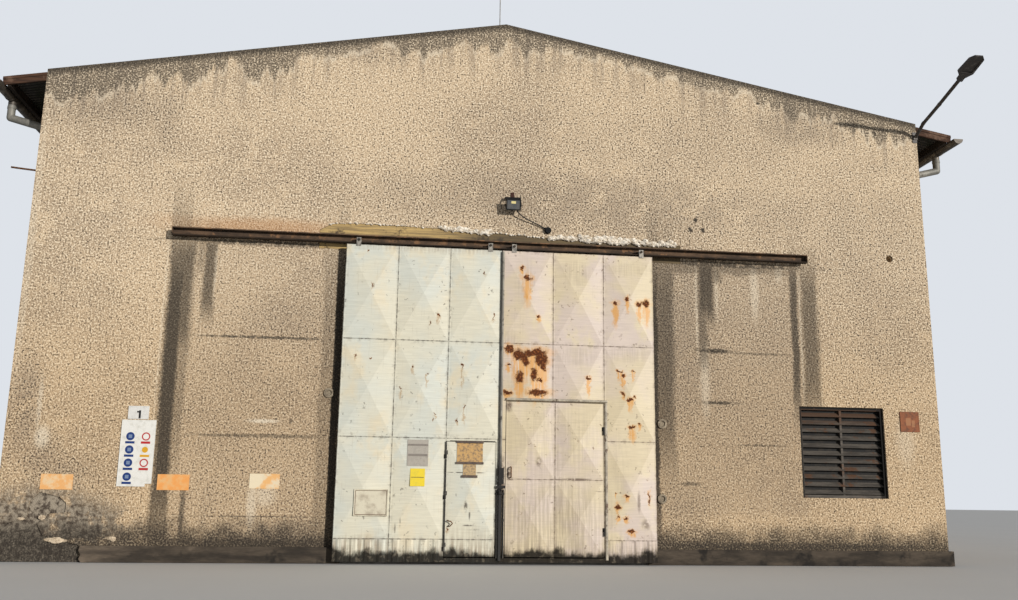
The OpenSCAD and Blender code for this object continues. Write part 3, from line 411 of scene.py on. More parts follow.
# gate paint: cream over steel, with scratches, rusty chips and black grime at the foot.
# A chip is x, z, half width, half height and the length of the run under it, in metres.
# edgeX is the x of an upright seam and column their spacing; rowBottom and row place the level ones.
gatePaint = {
    "dust": (0.3, 0.24, 0.17),
    "grime": (0.012, 0.011, 0.01),
    "dryGrime": (0.085, 0.072, 0.054),
    "rustCore": (0.085, 0.03, 0.014),
    "rustLight": (0.27, 0.095, 0.03),
    "speckSize": 13.0,
    "pointSize": 15.0,
    "column": 0.6717,
    "rowBottom": 0.3,
    "row": 1.23,
    "seamWidths": (0.011, 0.003),
    "smearWidths": (0.06, 0.0),
    "grimeHeights": (0.035, -0.065),
    "dustHeights": (0.2, -0.05),
    "tear": (11.0, 5.0, 0.72, (0.17, 0, 0.17)),
    "grains": {
        "broad": (0.9, 3.0, 0.6),
        "cloudy": (2.3, 4.0, 0.6, (1, 1, 0.8)),
        "brushed": (1.0, 3.0, 0.65, (3.5, 1, 60)),
        "drips": (1.0, 3.0, 0.6, (38, 1, 1.8)),
        "bits": (13.0, 3.0, 0.65),
        "rusty": (38.0, 3.0, 0.6),
        "rare": (1.7, 2.0, 0.5),
        "seldom": (3.1, 2.0, 0.5),
        "drift": (1.0, 4.0, 0.68, (4.5, 1, 3.0)),
    },
}
leftPaint = {
    "name": "gate_paint_left",
    "run": (0.44, 0.33, 0.205),
    "seam": (0.06, 0.048, 0.036),
    "base": (0.635, 0.605, 0.485),
    "second": (0.575, 0.59, 0.525),
    "third": (0.655, 0.59, 0.44),
    "edgeX": -2.045,
    "speckAmount": 0.22,
    "dusty": [
        (-0.36, 0.3, 0.33, 0.16, 0.3), (-1.04, 3.98, 1.0, 0.06, 0.4), (-1.7, 0.24, 0.34, 0.1, 0.45),
    ],
    "scratches": [
        (-0.44, 0.7, 0.02, 0.06, 0.9), (-0.39, 0.6, 0.01, 0.06, 0.8), (-0.4, 0.47, 0.07, 0.008, 0.9),
        (-0.33, 0.42, 0.06, 0.01, 0.5), (-0.55, 1.11, 0.11, 0.006, 0.9),
        (-0.28, 1.11, 0.06, 0.006, 0.9), (-1.3, 0.42, 0.01, 0.06, 0.6), (-1.24, 0.5, 0.008, 0.05, 0.6),
        (-0.045, 1.05, 0.022, 0.2, 0.9), (-0.08, 0.6, 0.01, 0.5, 0.5),
    ],
    "chips": [
        (-1.755, 3.906, 0.01, 0.014, 0.0), (-1.697, 3.438, 0.008, 0.03, 0.0),
        (-0.845, 3.095, 0.022, 0.022, 0.08), (-0.945, 2.993, 0.014, 0.012, 0.0),
        (-0.119, 3.107, 0.01, 0.03, 0.05), (-0.52, 2.452, 0.013, 0.03, 0.26),
        (-1.151, 2.419, 0.016, 0.014, 0.1), (-0.969, 2.322, 0.012, 0.01, 0.14),
        (-1.295, 2.153, 0.012, 0.01, 0.16), (-0.488, 1.928, 0.012, 0.024, 0.2),
        (-0.577, 1.753, 0.01, 0.022, 0.05), (-0.88, 1.769, 0.008, 0.012, 0.0),
        (-1.682, 2.52, 0.012, 0.01, 0.0), (-1.87, 2.55, 0.016, 0.012, 0.06),
        (-0.853, 1.832, 0.01, 0.01, 0.05), (-0.655, 0.42, 0.016, 0.016, 0.04),
        (-0.255, 3.665, 0.012, 0.03, 0.0),
    ],
}
rightPaint = {
    "name": "gate_paint_right",
    "run": (0.62, 0.305, 0.07),
    "seam": (0.105, 0.062, 0.036),
    "base": (0.61, 0.515, 0.345),
    "second": (0.59, 0.495, 0.43),
    "third": (0.64, 0.545, 0.37),
    "edgeX": -0.02,
    "wicketArea": (0.682, 1.05, 0.625, 0.96),
    "wicketSeams": (0.682, 1.04),
    "speckAmount": 0.55,
    "dusty": [
        (0.68, 0.56, 0.62, 0.46, 0.6), (0.68, 1.5, 0.6, 0.5, 0.26), (1.64, 3.8, 0.3, 0.1, 0.25),
        (0.31, 2.42, 0.24, 0.3, 0.35), (0.28, 3.6, 0.12, 0.3, 0.25), (0.1, 2.8, 0.1, 0.1, 0.4),
        (0.95, 3.72, 0.18, 0.16, 0.35), (0.95, 2.62, 0.25, 0.12, 0.3), (1.66, 2.66, 0.28, 0.1, 0.3),
        (1.52, 1.2, 0.1, 0.4, 0.25),
    ],
    "scratches": [
        (0.47, 1.26, 0.03, 0.05, 0.8), (1.76, 0.78, 0.02, 0.11, 0.7), (1.85, 0.5, 0.05, 0.06, 0.6),
        (0.022, 1.05, 0.026, 0.24, 0.9), (0.03, 0.4, 0.014, 0.4, 0.5), (0.12, 1.045, 0.06, 0.018, 1.0),
        (0.09, 1.12, 0.028, 0.05, 1.0), (0.96, 1.045, 0.18, 0.016, 0.9), (0.09, 1.95, 0.04, 0.06, 0.9),
        (1.26, 0.9, 0.06, 0.007, 0.6),
    ],
    "chips": [
        (0.24, 3.763, 0.03, 0.026, 0.05), (0.305, 3.633, 0.062, 0.036, 0.32),
        (0.457, 3.119, 0.022, 0.022, 0.05), (1.481, 3.341, 0.04, 0.026, 0.28),
        (1.637, 3.402, 0.026, 0.026, 0.16), (1.8, 3.335, 0.036, 0.03, 0.2),
        (1.895, 3.345, 0.05, 0.04, 0.26), (1.111, 2.337, 0.026, 0.026, 0.2),
        (1.527, 2.438, 0.03, 0.016, 0.1), (1.572, 2.375, 0.03, 0.024, 0.14),
        (1.701, 2.437, 0.026, 0.012, 0.12), (1.66, 2.069, 0.036, 0.03, 0.12),
        (1.569, 2.141, 0.02, 0.022, 0.05), (1.721, 2.115, 0.02, 0.014, 0.0),
        (1.685, 1.716, 0.046, 0.024, 0.16), (1.782, 1.747, 0.022, 0.018, 0.05),
        (1.485, 0.718, 0.026, 0.04, 0.06), (1.599, 0.847, 0.036, 0.016, 0.06),
        (1.465, 0.874, 0.016, 0.016, 0.05), (1.492, 0.591, 0.024, 0.018, 0.05),
        (1.596, 0.578, 0.03, 0.016, 0.05), (1.667, 0.41, 0.05, 0.02, 0.04),
        (1.9, 0.815, 0.012, 0.07, 0.0), (0.19, 2.62, 0.075, 0.07, 0.3), (0.285, 2.56, 0.06, 0.09, 0.2),
        (0.42, 2.65, 0.15, 0.05, 0.3), (0.5, 2.56, 0.085, 0.075, 0.36), (0.525, 2.47, 0.035, 0.06, 0.3),
        (0.07, 2.49, 0.024, 0.022, 0.1), (0.08, 2.69, 0.05, 0.05, 0.05),
        (0.215, 2.32, 0.06, 0.075, 0.22), (0.405, 2.36, 0.045, 0.09, 0.26),
        (0.48, 2.29, 0.03, 0.03, 0.1), (0.455, 2.13, 0.13, 0.045, 0.05),
        (0.06, 2.12, 0.05, 0.032, 0.05),
    ],
}


def makeGatePaint(setup, shared):
    material, shader, place = startMaterial(setup["name"], 0.55)
    x, _, z = axes(place)
    flat = put("CombineXYZ", (x, 0.0, z)).outputs[0]
    torn = shake(flat, flat, *shared["tear"])
    broad, cloudy, brushed, drips, bits, rusty, rare, seldom, drift = (
        grain(flat, *values) for values in shared["grains"].values())
    colour = blend(fade(broad, 0.4, 0.6), setup["base"], setup["second"])
    colour = paint(colour, setup["third"], fade(cloudy, 0.5, 0.68))
    colour = scaleColour(colour, spread(brushed, 0.3, 0.7, 0.88, 1.06))
    dusty = times(stack(torn, setup["dusty"], 0.6), fade(drips, 0.34, 0.62))
    streaks = times(fade(drips, 0.58, 0.74), 0.2)
    colour = paint(colour, shared["dust"], most(dusty, streaks))

    # dark seams of the panels, dashed with dirt; the wicket has its own pair
    across = calc("PINGPONG", calc("SUBTRACT", x, setup["edgeX"]), shared["column"] / 2)
    upward = calc("PINGPONG", calc("SUBTRACT", z, shared["rowBottom"]), shared["row"] / 2)
    near = calc("MINIMUM", across, upward)
    if "wicketArea" in setup:
        inWicket = patch(flat, *setup["wicketArea"], soft=0.01, box=True)
        away = [calc("ABSOLUTE", calc("SUBTRACT", at, seam))
                for at, seam in zip((x, z), setup["wicketSeams"])]
        near = put("Mix", (inWicket, None, near, calc("MINIMUM", *away))).outputs[0]
    broken = calc("MULTIPLY_ADD", fade(bits, 0.42, 0.6), 0.55, 0.3)
    seam = times(fade(near, *shared["seamWidths"]), broken)
    smear = times(fade(near, *shared["smearWidths"]), fade(bits, 0.5, 0.68), 0.38)
    scratches = times(stack(flat, setup["scratches"], 0.6), fade(bits, 0.36, 0.52))
    colour = paint(colour, setup["seam"], most(seam, smear, scratches))

    # scattered specks, chips and the runs under them
    points = fade(cells(torn, shared["pointSize"]), 0.21, 0.1)
    colour = paint(colour, setup["seam"], points, fade(seldom, 0.44, 0.62), 0.7)
    specks = fade(cells(torn, shared["speckSize"]), 0.17, 0.1)
    chips = [times(specks, fade(rare, 0.46, 0.64), setup["speckAmount"])]
    runs = []
    for chipX, chipZ, wide, high, length in setup["chips"]:
        chips.append(patch(torn, chipX, chipZ, wide, high, 1.0, 0.25))
        runs.append(patch(torn, chipX, chipZ, wide * 1.5, high * 1.5, 0.7, 0.5))
        if length > 0:
            runs.append(patch(torn, chipX, chipZ - length / 2, wide * 0.9, length / 2 + high, 0.9, 0.5))
    core = most(*chips)
    rust = blend(fade(rusty, 0.5, 0.66), shared["rustCore"], shared["rustLight"])
    colour = paint(colour, setup["run"], most(*runs), fade(drips, 0.26, 0.5))
    colour = paint(colour, rust, core)

    # grime at the foot, blown up the sheets in drifts
    ragged = calc("MULTIPLY_ADD", drift, -0.34, z)
    foot = fade(ragged, *shared["grimeHeights"])
    dust = times(fade(ragged, *shared["dustHeights"]), fade(drips, 0.38, 0.62), 0.8)
    colour = paint(colour, shared["dust"], dust)
    grime = blend(fade(bits, 0.54, 0.68), shared["grime"], shared["dryGrime"])
    colour = paint(colour, grime, foot, 0.96)

    dull = most(core, foot)
    rough = spread(dull, 0.0, 1.0, 0.5, 0.95)
    shine = spread(dull, 0.0, 1.0, 0.45, 0.05)
    height = calc("MULTIPLY_ADD", core, -0.6, times(brushed, 0.35))
    finishMaterial(shader, colour, height, 0.003, 0.5, rough, shine)
    return material


leftCream = makeGatePaint(leftPaint, gatePaint)
rightCream = makeGatePaint(rightPaint, gatePaint)
dress(leftCream, "left_leaf_frame", "left_leaf_panels", "hatch_surround", "hatch_frame", "hatch_panels")
dress(rightCream, "right_leaf_frame", "right_leaf_panels", "wicket_frame", "wicket_panels")
print("gate painted")

# plainer finishes: two tones, a patchy third, and the nodes that each is on. turn is an axis, where a
# second tone starts and ends on it,
# and the tone: weathering on some, painted shade at the rail's foot and the meeting strip's left edge;
# under is the painted shade of faces that look down; grease is a list of dark marks: grime on some, painted
# shade in the louvre's reveal.
greaseAndShadeBlack = (0.012, 0.011, 0.01)
plainFinishes = {
    # the rail's foot below z 4.058 turns near black: painted shade under the rail
    "rail_rust": dict(
        tones=((0.15, 0.095, 0.06), (0.065, 0.046, 0.034)), patches=(0.23, 0.13, 0.07), scale=9.0,
        stretch=(0.35, 1, 1), rough=0.8, metal=0.2, depth=0.002,
        turn=(2, 4.058, 4.03, (0.01, 0.009, 0.008)), on=("gate_rail", "rail_brackets")),
    "board_wood": dict(
        tones=((0.53, 0.375, 0.16), (0.28, 0.2, 0.1)), patches=(0.09, 0.065, 0.042), scale=5.0,
        stretch=(0.35, 6, 9), rough=0.85, depth=0.006, on=("lintel_board",),
        turn=(0, -1.0, -0.1, (0.07, 0.057, 0.043))),
    # the strip darkens to black towards its left edge: painted shadow in the gap between the leaves
    "strip_paint": dict(
        tones=((0.36, 0.335, 0.275), (0.22, 0.2, 0.165)), patches=(0.06, 0.05, 0.04), scale=8.0,
        stretch=(3, 1, 0.5), rough=0.6, on=("meeting_strip",),
        turn=(0, -0.012, -0.02, (0.012, 0.011, 0.01)), greaseAndShade=[(-0.017, 0.6, 0.1, 0.72, 1.0)]),
    # its faces that look down get a near-black tone: painted shade of the soffit
    "roof_sheet": dict(
        tones=((0.22, 0.2, 0.18), (0.15, 0.14, 0.125)), patches=(0.1, 0.11, 0.07), scale=2.2, rough=0.9,
        depth=0.002, under=(0.018, 0.017, 0.016), on=("roof_left", "roof_right", "ridge_cap")),
    "verge_wood": dict(
        tones=((0.09, 0.046, 0.028), (0.045, 0.026, 0.018)), patches=(0.14, 0.085, 0.058), scale=4.0,
        stretch=(0.5, 4, 6), rough=0.8, depth=0.002, on=("verge_boards",)),
    # the timbers under the roof are near black: painted shade of the soffit
    "roof_wood_painted_shade": dict(
        tones=((0.038, 0.029, 0.022), (0.024, 0.019, 0.015)), patches=(0.018, 0.015, 0.012), scale=4.0,
        stretch=(3, 0.4, 3), rough=0.85, depth=0.002,
        on=("eaves_frame_left", "eaves_frame_right", "purlins_left", "purlins_right")),
    "truss_paint": dict(
        tones=((0.2, 0.21, 0.2), (0.15, 0.155, 0.15)), patches=(0.12, 0.06, 0.035), scale=3.0, rough=0.6,
        metal=0.2, on=("roof_trusses",)),
    "gutter_zinc": dict(
        tones=((0.12, 0.105, 0.088), (0.07, 0.062, 0.054)), patches=(0.22, 0.2, 0.17), scale=3.0,
        stretch=(1, 0.6, 3), rough=0.55, metal=0.6,
        on=("gutter_left", "gutter_right", "gutter_brackets")),
    "pipe_zinc": dict(
        tones=((0.29, 0.275, 0.24), (0.19, 0.185, 0.165)), patches=(0.1, 0.085, 0.065), scale=5.0,
        stretch=(1, 1, 0.5), rough=0.6, metal=0.3, on=("downpipe_left", "downpipe_right")),
    "lamp_black": dict(
        tones=((0.008, 0.008, 0.009), (0.014, 0.014, 0.014)), patches=(0.03, 0.026, 0.022), scale=20.0,
        rough=0.75, depth=0.0005, turn=(2, 4.755, 4.77, (0.065, 0.028, 0.02)),
        on=("floodlight", "junction_box")),
    "lamp_bronze": dict(
        tones=((0.055, 0.048, 0.045), (0.04, 0.036, 0.034)), patches=(0.11, 0.1, 0.09), scale=14.0,
        rough=0.5, metal=0.3, depth=0.0005, on=("lamp_arm", "lamp_head")),
    # its three grease marks darken the right side, head and left side of the louvre: painted shade of the
    # reveal
    "louvre_metal": dict(
        tones=((0.125, 0.11, 0.094), (0.07, 0.062, 0.054)), patches=(0.12, 0.065, 0.04), scale=6.0,
        stretch=(0.5, 1, 5), rough=0.75, metal=0.2, turn=(2, 1.74, 1.98, (0.105, 0.058, 0.036)),
        greaseAndShade=[(5.175, 1.45, 0.055, 0.7, 1.0), (4.6, 2.05, 0.7, 0.024, 1.0),
                (4.035, 1.45, 0.022, 0.7, 0.9)],
        boxed=True, on=("front_louvre", "side_louvres")),
    "zinc_steel": dict(
        tones=((0.33, 0.305, 0.265), (0.15, 0.14, 0.125)), patches=(0.07, 0.05, 0.036), scale=24.0,
        rough=0.55, metal=0.4, depth=0.0005,
        greaseAndShade=[(-0.02, 0.65, 0.14, 0.72, 1.0), (-0.69, 0.85, 0.07, 0.75, 0.92),
                (1.31, 1.0, 0.07, 1.2, 0.92)],
        on=("left_leaf_fittings", "right_leaf_fittings", "hatch_hinges", "wicket_hinges", "lightning_rod")),
    "plinth_cement": dict(
        tones=((0.15, 0.118, 0.088), (0.065, 0.053, 0.042)), patches=(0.035, 0.03, 0.026), scale=3.0,
        stretch=(0.5, 1, 2.4), rough=0.95, depth=0.006,
        greaseAndShade=[(-2.6, 0.1, 1.95, 0.3, 0.5), (3.5, 0.1, 3.2, 0.3, 0.5)],
        on=("plinth_front", "plinth_sides")),
    "floor_cement": dict(
        tones=((0.26, 0.25, 0.23), (0.2, 0.19, 0.175)), patches=(0.12, 0.11, 0.1), scale=1.2, rough=0.85,
        depth=0.002, on=("floor_slab",)),
    "pier_cement": dict(
        tones=((0.42, 0.4, 0.36), (0.34, 0.32, 0.29)), patches=(0.24, 0.22, 0.2), scale=2.0, rough=0.9,
        depth=0.003, on=("inner_piers",)),
}


def makePlainFinish(name, tones, patches, scale, rough, stretch=(1, 1, 1), metal=0.0, depth=0.001,
                    turn=None, under=None, greaseAndShade=(), boxed=False, on=()):
    material, shader, place = startMaterial(name, rough, metal)
    broad = grain(place, scale, 4.0, 0.62, stretch)
    fine = grain(place, scale * 9, 3.0, 0.6, stretch)
    spots = grain(place, scale * 0.8, 4.0, 0.68)
    colour = blend(fade(broad, 0.36, 0.64), *tones)
    colour = paint(colour, patches, fade(spots, 0.54, 0.66))
    colour = scaleColour(colour, spread(fine, 0.28, 0.72, 0.8, 1.15))
    # turn: weathering on some finishes, painted shade at the rail's foot and the meeting strip's left edge
    if turn:
        axis, start, end, toneOfWeatherAndShade = turn
        colour = paint(colour, toneOfWeatherAndShade, fade(axes(place)[axis], start, end), 0.8)
    # under: painted shade on faces that look down
    if under:
        facing = axes(put("NewGeometry").outputs["True Normal"])[2]
        colour = paint(colour, under, fade(facing, -0.3, -0.7))
    # grease: grime marks, and painted shade in the louvre's reveal
    if greaseAndShade:
        greaseAndShadeMask = stack(move("MULTIPLY", place, (1, 0, 1)), greaseAndShade, 0.3, boxed)
        colour = paint(colour, greaseAndShadeBlack, greaseAndShadeMask, fade(spots, 0.26, 0.4))
    height = calc("ADD", broad, times(fine, 0.5))
    finishMaterial(shader, colour, height, depth, 0.5, shine=0.15 if rough > 0.7 else 0.4)
    dress(material, *on)
    return material


for name, setup in plainFinishes.items():
    makePlainFinish(name, **setup)
print("plain finishes made")


# modelling helpers: a block is added at its size and place, then shaped in edit mode
def startBlock(name, low, high):
    bpy.ops.object.select_all(action="DESELECT")
    bpy.ops.mesh.primitive_cube_add(size=1, location=[(a + b) / 2 for a, b in zip(low, high)])
    block = bpy.context.object
    block.name = name
    block.scale = [b - a for a, b in zip(low, high)]
    bpy.ops.object.transform_apply(location=True, rotation=True, scale=True)
    return block


# a round piece whose axis points to the front
def startDisc(name, middle, radius, depth, sides=24):
    bpy.ops.object.select_all(action="DESELECT")
    bpy.ops.mesh.primitive_cylinder_add(vertices=sides, radius=radius, depth=depth, location=middle,
                                        rotation=(math.pi / 2, 0, 0))
    disc = bpy.context.object
    disc.name = name
    bpy.ops.object.transform_apply(location=True, rotation=True, scale=True)
    return disc


# opens edit mode with the faces that pass the test selected
def pickFaces(piece, test):
    bpy.ops.object.mode_set(mode="EDIT")
    bpy.ops.mesh.select_mode(type="FACE")
    bpy.ops.mesh.select_all(action="DESELECT")
    mesh = bmesh.from_edit_mesh(piece.data)
    for face in mesh.faces:
        face.select_set(bool(test(face)))
    bmesh.update_edit_mesh(piece.data)


def pickCorners(piece, test):
    bpy.ops.object.mode_set(mode="EDIT")
    bpy.ops.mesh.select_mode(type="VERT")
    bpy.ops.mesh.select_all(action="DESELECT")
    mesh = bmesh.from_edit_mesh(piece.data)
    for corner in mesh.verts:
        corner.select_set(bool(test(corner.co)))
    bpy.ops.mesh.select_mode(type="VERT")
    bmesh.update_edit_mesh(piece.data)


def facesFront(face):
    return face.normal.y < -0.9


def endShaping():
    bpy.ops.object.mode_set(mode="OBJECT")


def slide(offset):
    bpy.ops.transform.translate(value=offset)


# the front face is inset by the rim and pushed back by the depth, or out where it is below 0
def sinkFront(piece, rim, depth):
    pickFaces(piece, facesFront)
    bpy.ops.mesh.inset(thickness=rim)
    slide((0, depth, 0))
    endShaping()


# a ball whose corners are pushed about, left in edit mode with all of it selected
def startLump(subdivisions, offset, uniform, normal, seed):
    bpy.ops.object.select_all(action="DESELECT")
    bpy.ops.mesh.primitive_ico_sphere_add(subdivisions=subdivisions, radius=1, location=(0, 0, 0))
    lump = bpy.context.object
    bpy.ops.object.mode_set(mode="EDIT")
    bpy.ops.mesh.select_all(action="SELECT")
    bpy.ops.transform.vertex_random(offset=offset, uniform=uniform, normal=normal, seed=seed)
    return lump


def roundEdges(piece, width, segments=2):
    bevel = piece.modifiers.new("edges", "BEVEL")
    bevel.width = width
    bevel.segments = segments
    bevel.limit_method = "ANGLE"
    bpy.context.view_layer.objects.active = piece
    bpy.ops.object.modifier_apply(modifier=bevel.name)


def joinAll(pieces, name):
    bpy.ops.object.select_all(action="DESELECT")
    for piece in pieces:
        piece.select_set(True)
    bpy.context.view_layer.objects.active = pieces[0]
    if len(pieces) > 1:
        bpy.ops.object.join()
    joined = bpy.context.object
    joined.name = name
    return joined


# a round bar along points, made a mesh
def makeRod(name, points, radius, rounding=3):
    bpy.ops.object.select_all(action="DESELECT")
    line = bpy.data.curves.new(name, "CURVE")
    line.dimensions = "3D"
    line.bevel_depth = radius
    line.bevel_resolution = rounding
    line.use_fill_caps = True
    run = line.splines.new("POLY")
    run.points.add(len(points) - 1)
    for knot, point in zip(run.points, points):
        knot.co = (*point, 1)
    rod = bpy.data.objects.new(name, line)
    bpy.context.scene.collection.objects.link(rod)
    rod.select_set(True)
    bpy.context.view_layer.objects.active = rod
    bpy.ops.object.convert(target="MESH")
    rod = bpy.context.object
    bpy.ops.object.mode_set(mode="EDIT")
    bpy.ops.mesh.select_all(action="SELECT")
    bpy.ops.mesh.remove_doubles(threshold=0.00005)
    bpy.ops.mesh.normals_make_consistent(inside=False)
    endShaping()
    bpy.ops.object.shade_smooth_by_angle(angle=math.radians(40))
    return rod


def fit(piece, material, body):
    piece.data.materials.clear()
    piece.data.materials.append(material)
    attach(piece, body)


# a plate with a rim: the front face is inset and pushed back, and the foot may lean out
def makePlate(name, place, front, thick, rim, sink, lean=0.0, edge=0.001):
    x0, x1, z0, z1 = place
    plate = startBlock(name, (x0, front, z0), (x1, front + thick, z1))
    sinkFront(plate, rim, sink)
    if lean:
        middle = (z0 + z1) / 2
        pickCorners(plate, lambda corner: corner.z < middle)
        slide((0, -lean, 0))
        endShaping()
    roundEdges(plate, edge)
    return plate


# plain printed or painted surfaces: a base, worn parts, marks and dirt. Each entry of marks has a
# tint, whether its marks are boxes, and the marks, each x, z, half width and half height.
dirtBrown = (0.07, 0.055, 0.04)


def makeSignFinish(name, base, worn, rough, dirt, wearScale=14.0, marks=()):
    material, shader, place = startMaterial(name, rough)
    flat = move("MULTIPLY", place, (1, 0, 1))
    wear = grain(place, wearScale, 4.0, 0.65)
    fine = grain(place, 90.0, 2.0, 0.6)
    colour = blend(fade(wear, 0.42, 0.66), base, worn)
    for tint, box, shapes in marks:
        colour = paint(colour, tint, stack(flat, shapes, 0.05, box))
    spots = most(times(fade(wear, 0.5, 0.72), dirt), times(fade(fine, 0.6, 0.74), dirt))
    colour = paint(colour, dirtBrown, spots)
    finishMaterial(shader, colour, wear, 0.001, 0.4)
    return material


# white board beside the gate, with plain discs and bars only
signBoard = {
    "place": (-4.65, -4.247, 0.92, 1.686),
    "front": -12.014,
    "thick": 0.014,
    "rim": 0.006,
    "sink": 0.0015,
    "edge": 0.0012,
    "notch": (0.075, 0.035),
    "columns": (-4.538, -4.354),
    "rows": (1.485, 1.325, 1.167, 1.0),
    "disc": 0.05,
    "bar": (0.055, 0.014),
    "barDrop": 0.074,
    "white": (0.72, 0.71, 0.67),
    "worn": (0.66, 0.65, 0.6),
    "blue": (0.01, 0.035, 0.16),
    "paleBlue": (0.16, 0.22, 0.34),
    "red": (0.42, 0.02, 0.022),
    "ochre": (0.62, 0.33, 0.02),
}


def makeSignBoard(setup):
    x0, x1, z0, z1 = setup["place"]
    width, step = setup["notch"]
    board = startBlock("sign_board", (x0, setup["front"], z0), (x1, setup["front"] + setup["thick"], z1))
    pickFaces(board, lambda face: True)
    bpy.ops.mesh.bisect(plane_co=(x1 - width, 0, 0), plane_no=(1, 0, 0))
    pickFaces(board, lambda face: face.normal.z < -0.9 and face.calc_center_median().x < x1 - width)
    bpy.ops.mesh.extrude_region_move(TRANSFORM_OT_translate={"value": (0, 0, -step)})
    sinkFront(board, setup["rim"], setup["sink"])
    roundEdges(board, setup["edge"])
    left, right = setup["columns"]
    disc, bar, down = setup["disc"], setup["bar"], setup["barDrop"]
    white, blue, red, ochre = (setup[tone] for tone in ("white", "blue", "red", "ochre"))
    rows = setup["rows"]
    redRows = (rows[0], rows[2])
    finish = makeSignFinish("sign_white", white, setup["worn"], rough=0.35, dirt=0.12, marks=[
        (blue, False, [(left, z, disc, disc) for z in rows]),
        (setup["paleBlue"], True, [(left, z, disc * 0.42, disc * 0.42) for z in rows]),
        (blue, True, [(left, z - down, *bar) for z in rows]),
        (red, False, [(right, z, disc, disc) for z in redRows]),
        (white, False, [(right, z, disc * 0.7, disc * 0.7) for z in redRows]),
        (red, True, [(right, z - down, *bar) for z in redRows]),
        (ochre, False, [(right, rows[1], disc * 0.72, disc * 0.72)]),
        (ochre, True, [(right, rows[1] - down, *bar)]),
    ])
    fit(board, finish, "hall")


# hall number over the board: a white plate with a plain numeral
numberPlate = {
    "place": (-4.59, -4.345, 1.695, 1.855),
    "front": -12.01,
    "look": dict(  # the numeral is a stem and a short flag
        base=(0.66, 0.65, 0.62), worn=(0.58, 0.57, 0.54), rough=0.4, dirt=0.15, marks=[
            ((0.012, 0.012, 0.013), True, [(-4.452, 1.752, 0.0125, 0.05), (-4.472, 1.784, 0.015, 0.01)])]),
}


def makeNumberPlate(setup):
    plate = makePlate("number_plate", setup["place"], setup["front"], thick=0.01, rim=0.006, sink=0.001)
    fit(plate, makeSignFinish("number_white", **setup["look"]), "hall")


# three orange plates low on the wall; the third is bleached at its upper left
orangePlates = {
    "front": -12.006,
    # place, paint, bleached paint and marks
    "plates": [
        ((-5.525, -5.155, 0.838, 1.02), (0.72, 0.38, 0.14), (0.74, 0.55, 0.33), ()),
        ((-4.18, -3.805, 0.848, 1.036), (0.74, 0.32, 0.085), (0.72, 0.43, 0.18), ()),
        ((-3.09, -2.73, 0.88, 1.06), (0.72, 0.4, 0.15), (0.72, 0.62, 0.44),
         [((0.72, 0.62, 0.44), False, [(-3.05, 1.03, 0.13, 0.15)])]),
    ],
}


def makeOrangePlates(setup):
    for number, (place, orange, pale, marks) in enumerate(setup["plates"], 1):
        plate = makePlate(f"orange_plate_{number}", place, setup["front"], thick=0.006, rim=0.01,
                          sink=0.001)
        finish = makeSignFinish(f"plate_orange_{number}", orange, pale, rough=0.5, dirt=0.1,
                                wearScale=9.0, marks=marks)
        fit(plate, finish, "hall")


# rusty square plate by the louvre
rustyPlate = {
    "place": (5.44, 5.71, 1.75, 2.02),
    "front": -12.014,
    "look": dict(base=(0.25, 0.085, 0.035), worn=(0.15, 0.055, 0.028), rough=0.85, dirt=0.35, marks=[
        ((0.33, 0.15, 0.07), True, [(5.555, 1.885, 0.035, 0.05), (5.625, 1.86, 0.022, 0.045)])]),
}


def makeRustyPlate(setup):
    plate = makePlate("rusty_plate", setup["place"], setup["front"], thick=0.014, rim=0.018, sink=0.003,
                      edge=0.002)
    fit(plate, makeSignFinish("plate_rust", **setup["look"]), "hall")


# notices on the gate, without words: place, front at the head, lean of the foot and look
gateNotices = {
    "grey": dict(
        place=(-1.18, -0.92, 1.18, 1.505), front=-12.156, lean=0.018, body="left_leaf",
        look=dict(base=(0.33, 0.3, 0.26), worn=(0.42, 0.385, 0.33), dirt=0.35, wearScale=16.0, marks=[
            ((0.2, 0.175, 0.15), True, [(-1.05, 1.44, 0.125, 0.012), (-1.05, 1.315, 0.12, 0.014)])])),
    "yellow": dict(
        place=(-1.135, -0.955, 0.935, 1.15), front=-12.176, lean=0.012, body="left_leaf",
        look=dict(base=(0.74, 0.56, 0.015), worn=(0.7, 0.55, 0.03), dirt=0.12, wearScale=20.0, marks=[
            ((0.1, 0.08, 0.02), True, [(-1.045, 1.043, 0.08, 0.004)])])),
    "ochre": dict(
        place=(-0.562, -0.238, 1.232, 1.485), front=-12.155, lean=0.016, body="hatch_door",
        look=dict(base=(0.5, 0.3, 0.105), worn=(0.26, 0.17, 0.09), dirt=0.55, wearScale=30.0)),
    "small_ochre": dict(
        place=(-0.482, -0.322, 1.066, 1.222), front=-12.17, lean=0.01, body="hatch_door",
        look=dict(base=(0.44, 0.3, 0.14), worn=(0.25, 0.18, 0.11), dirt=0.45, wearScale=34.0)),
}
noticeBars = {
    "ochre": [(-0.572, -0.228, 1.474, 1.5, -12.168), (-0.572, -0.228, 1.214, 1.24, -12.184)],
    "small_ochre": [(-0.5, -0.302, 1.048, 1.076, -12.19)],
    "thick": 0.016,
    "rim": 0.003,
    "sink": 0.002,
    "edge": 0.005,
    "look": dict(base=(0.075, 0.055, 0.045), worn=(0.14, 0.1, 0.075), rough=0.8, dirt=0.4),
}


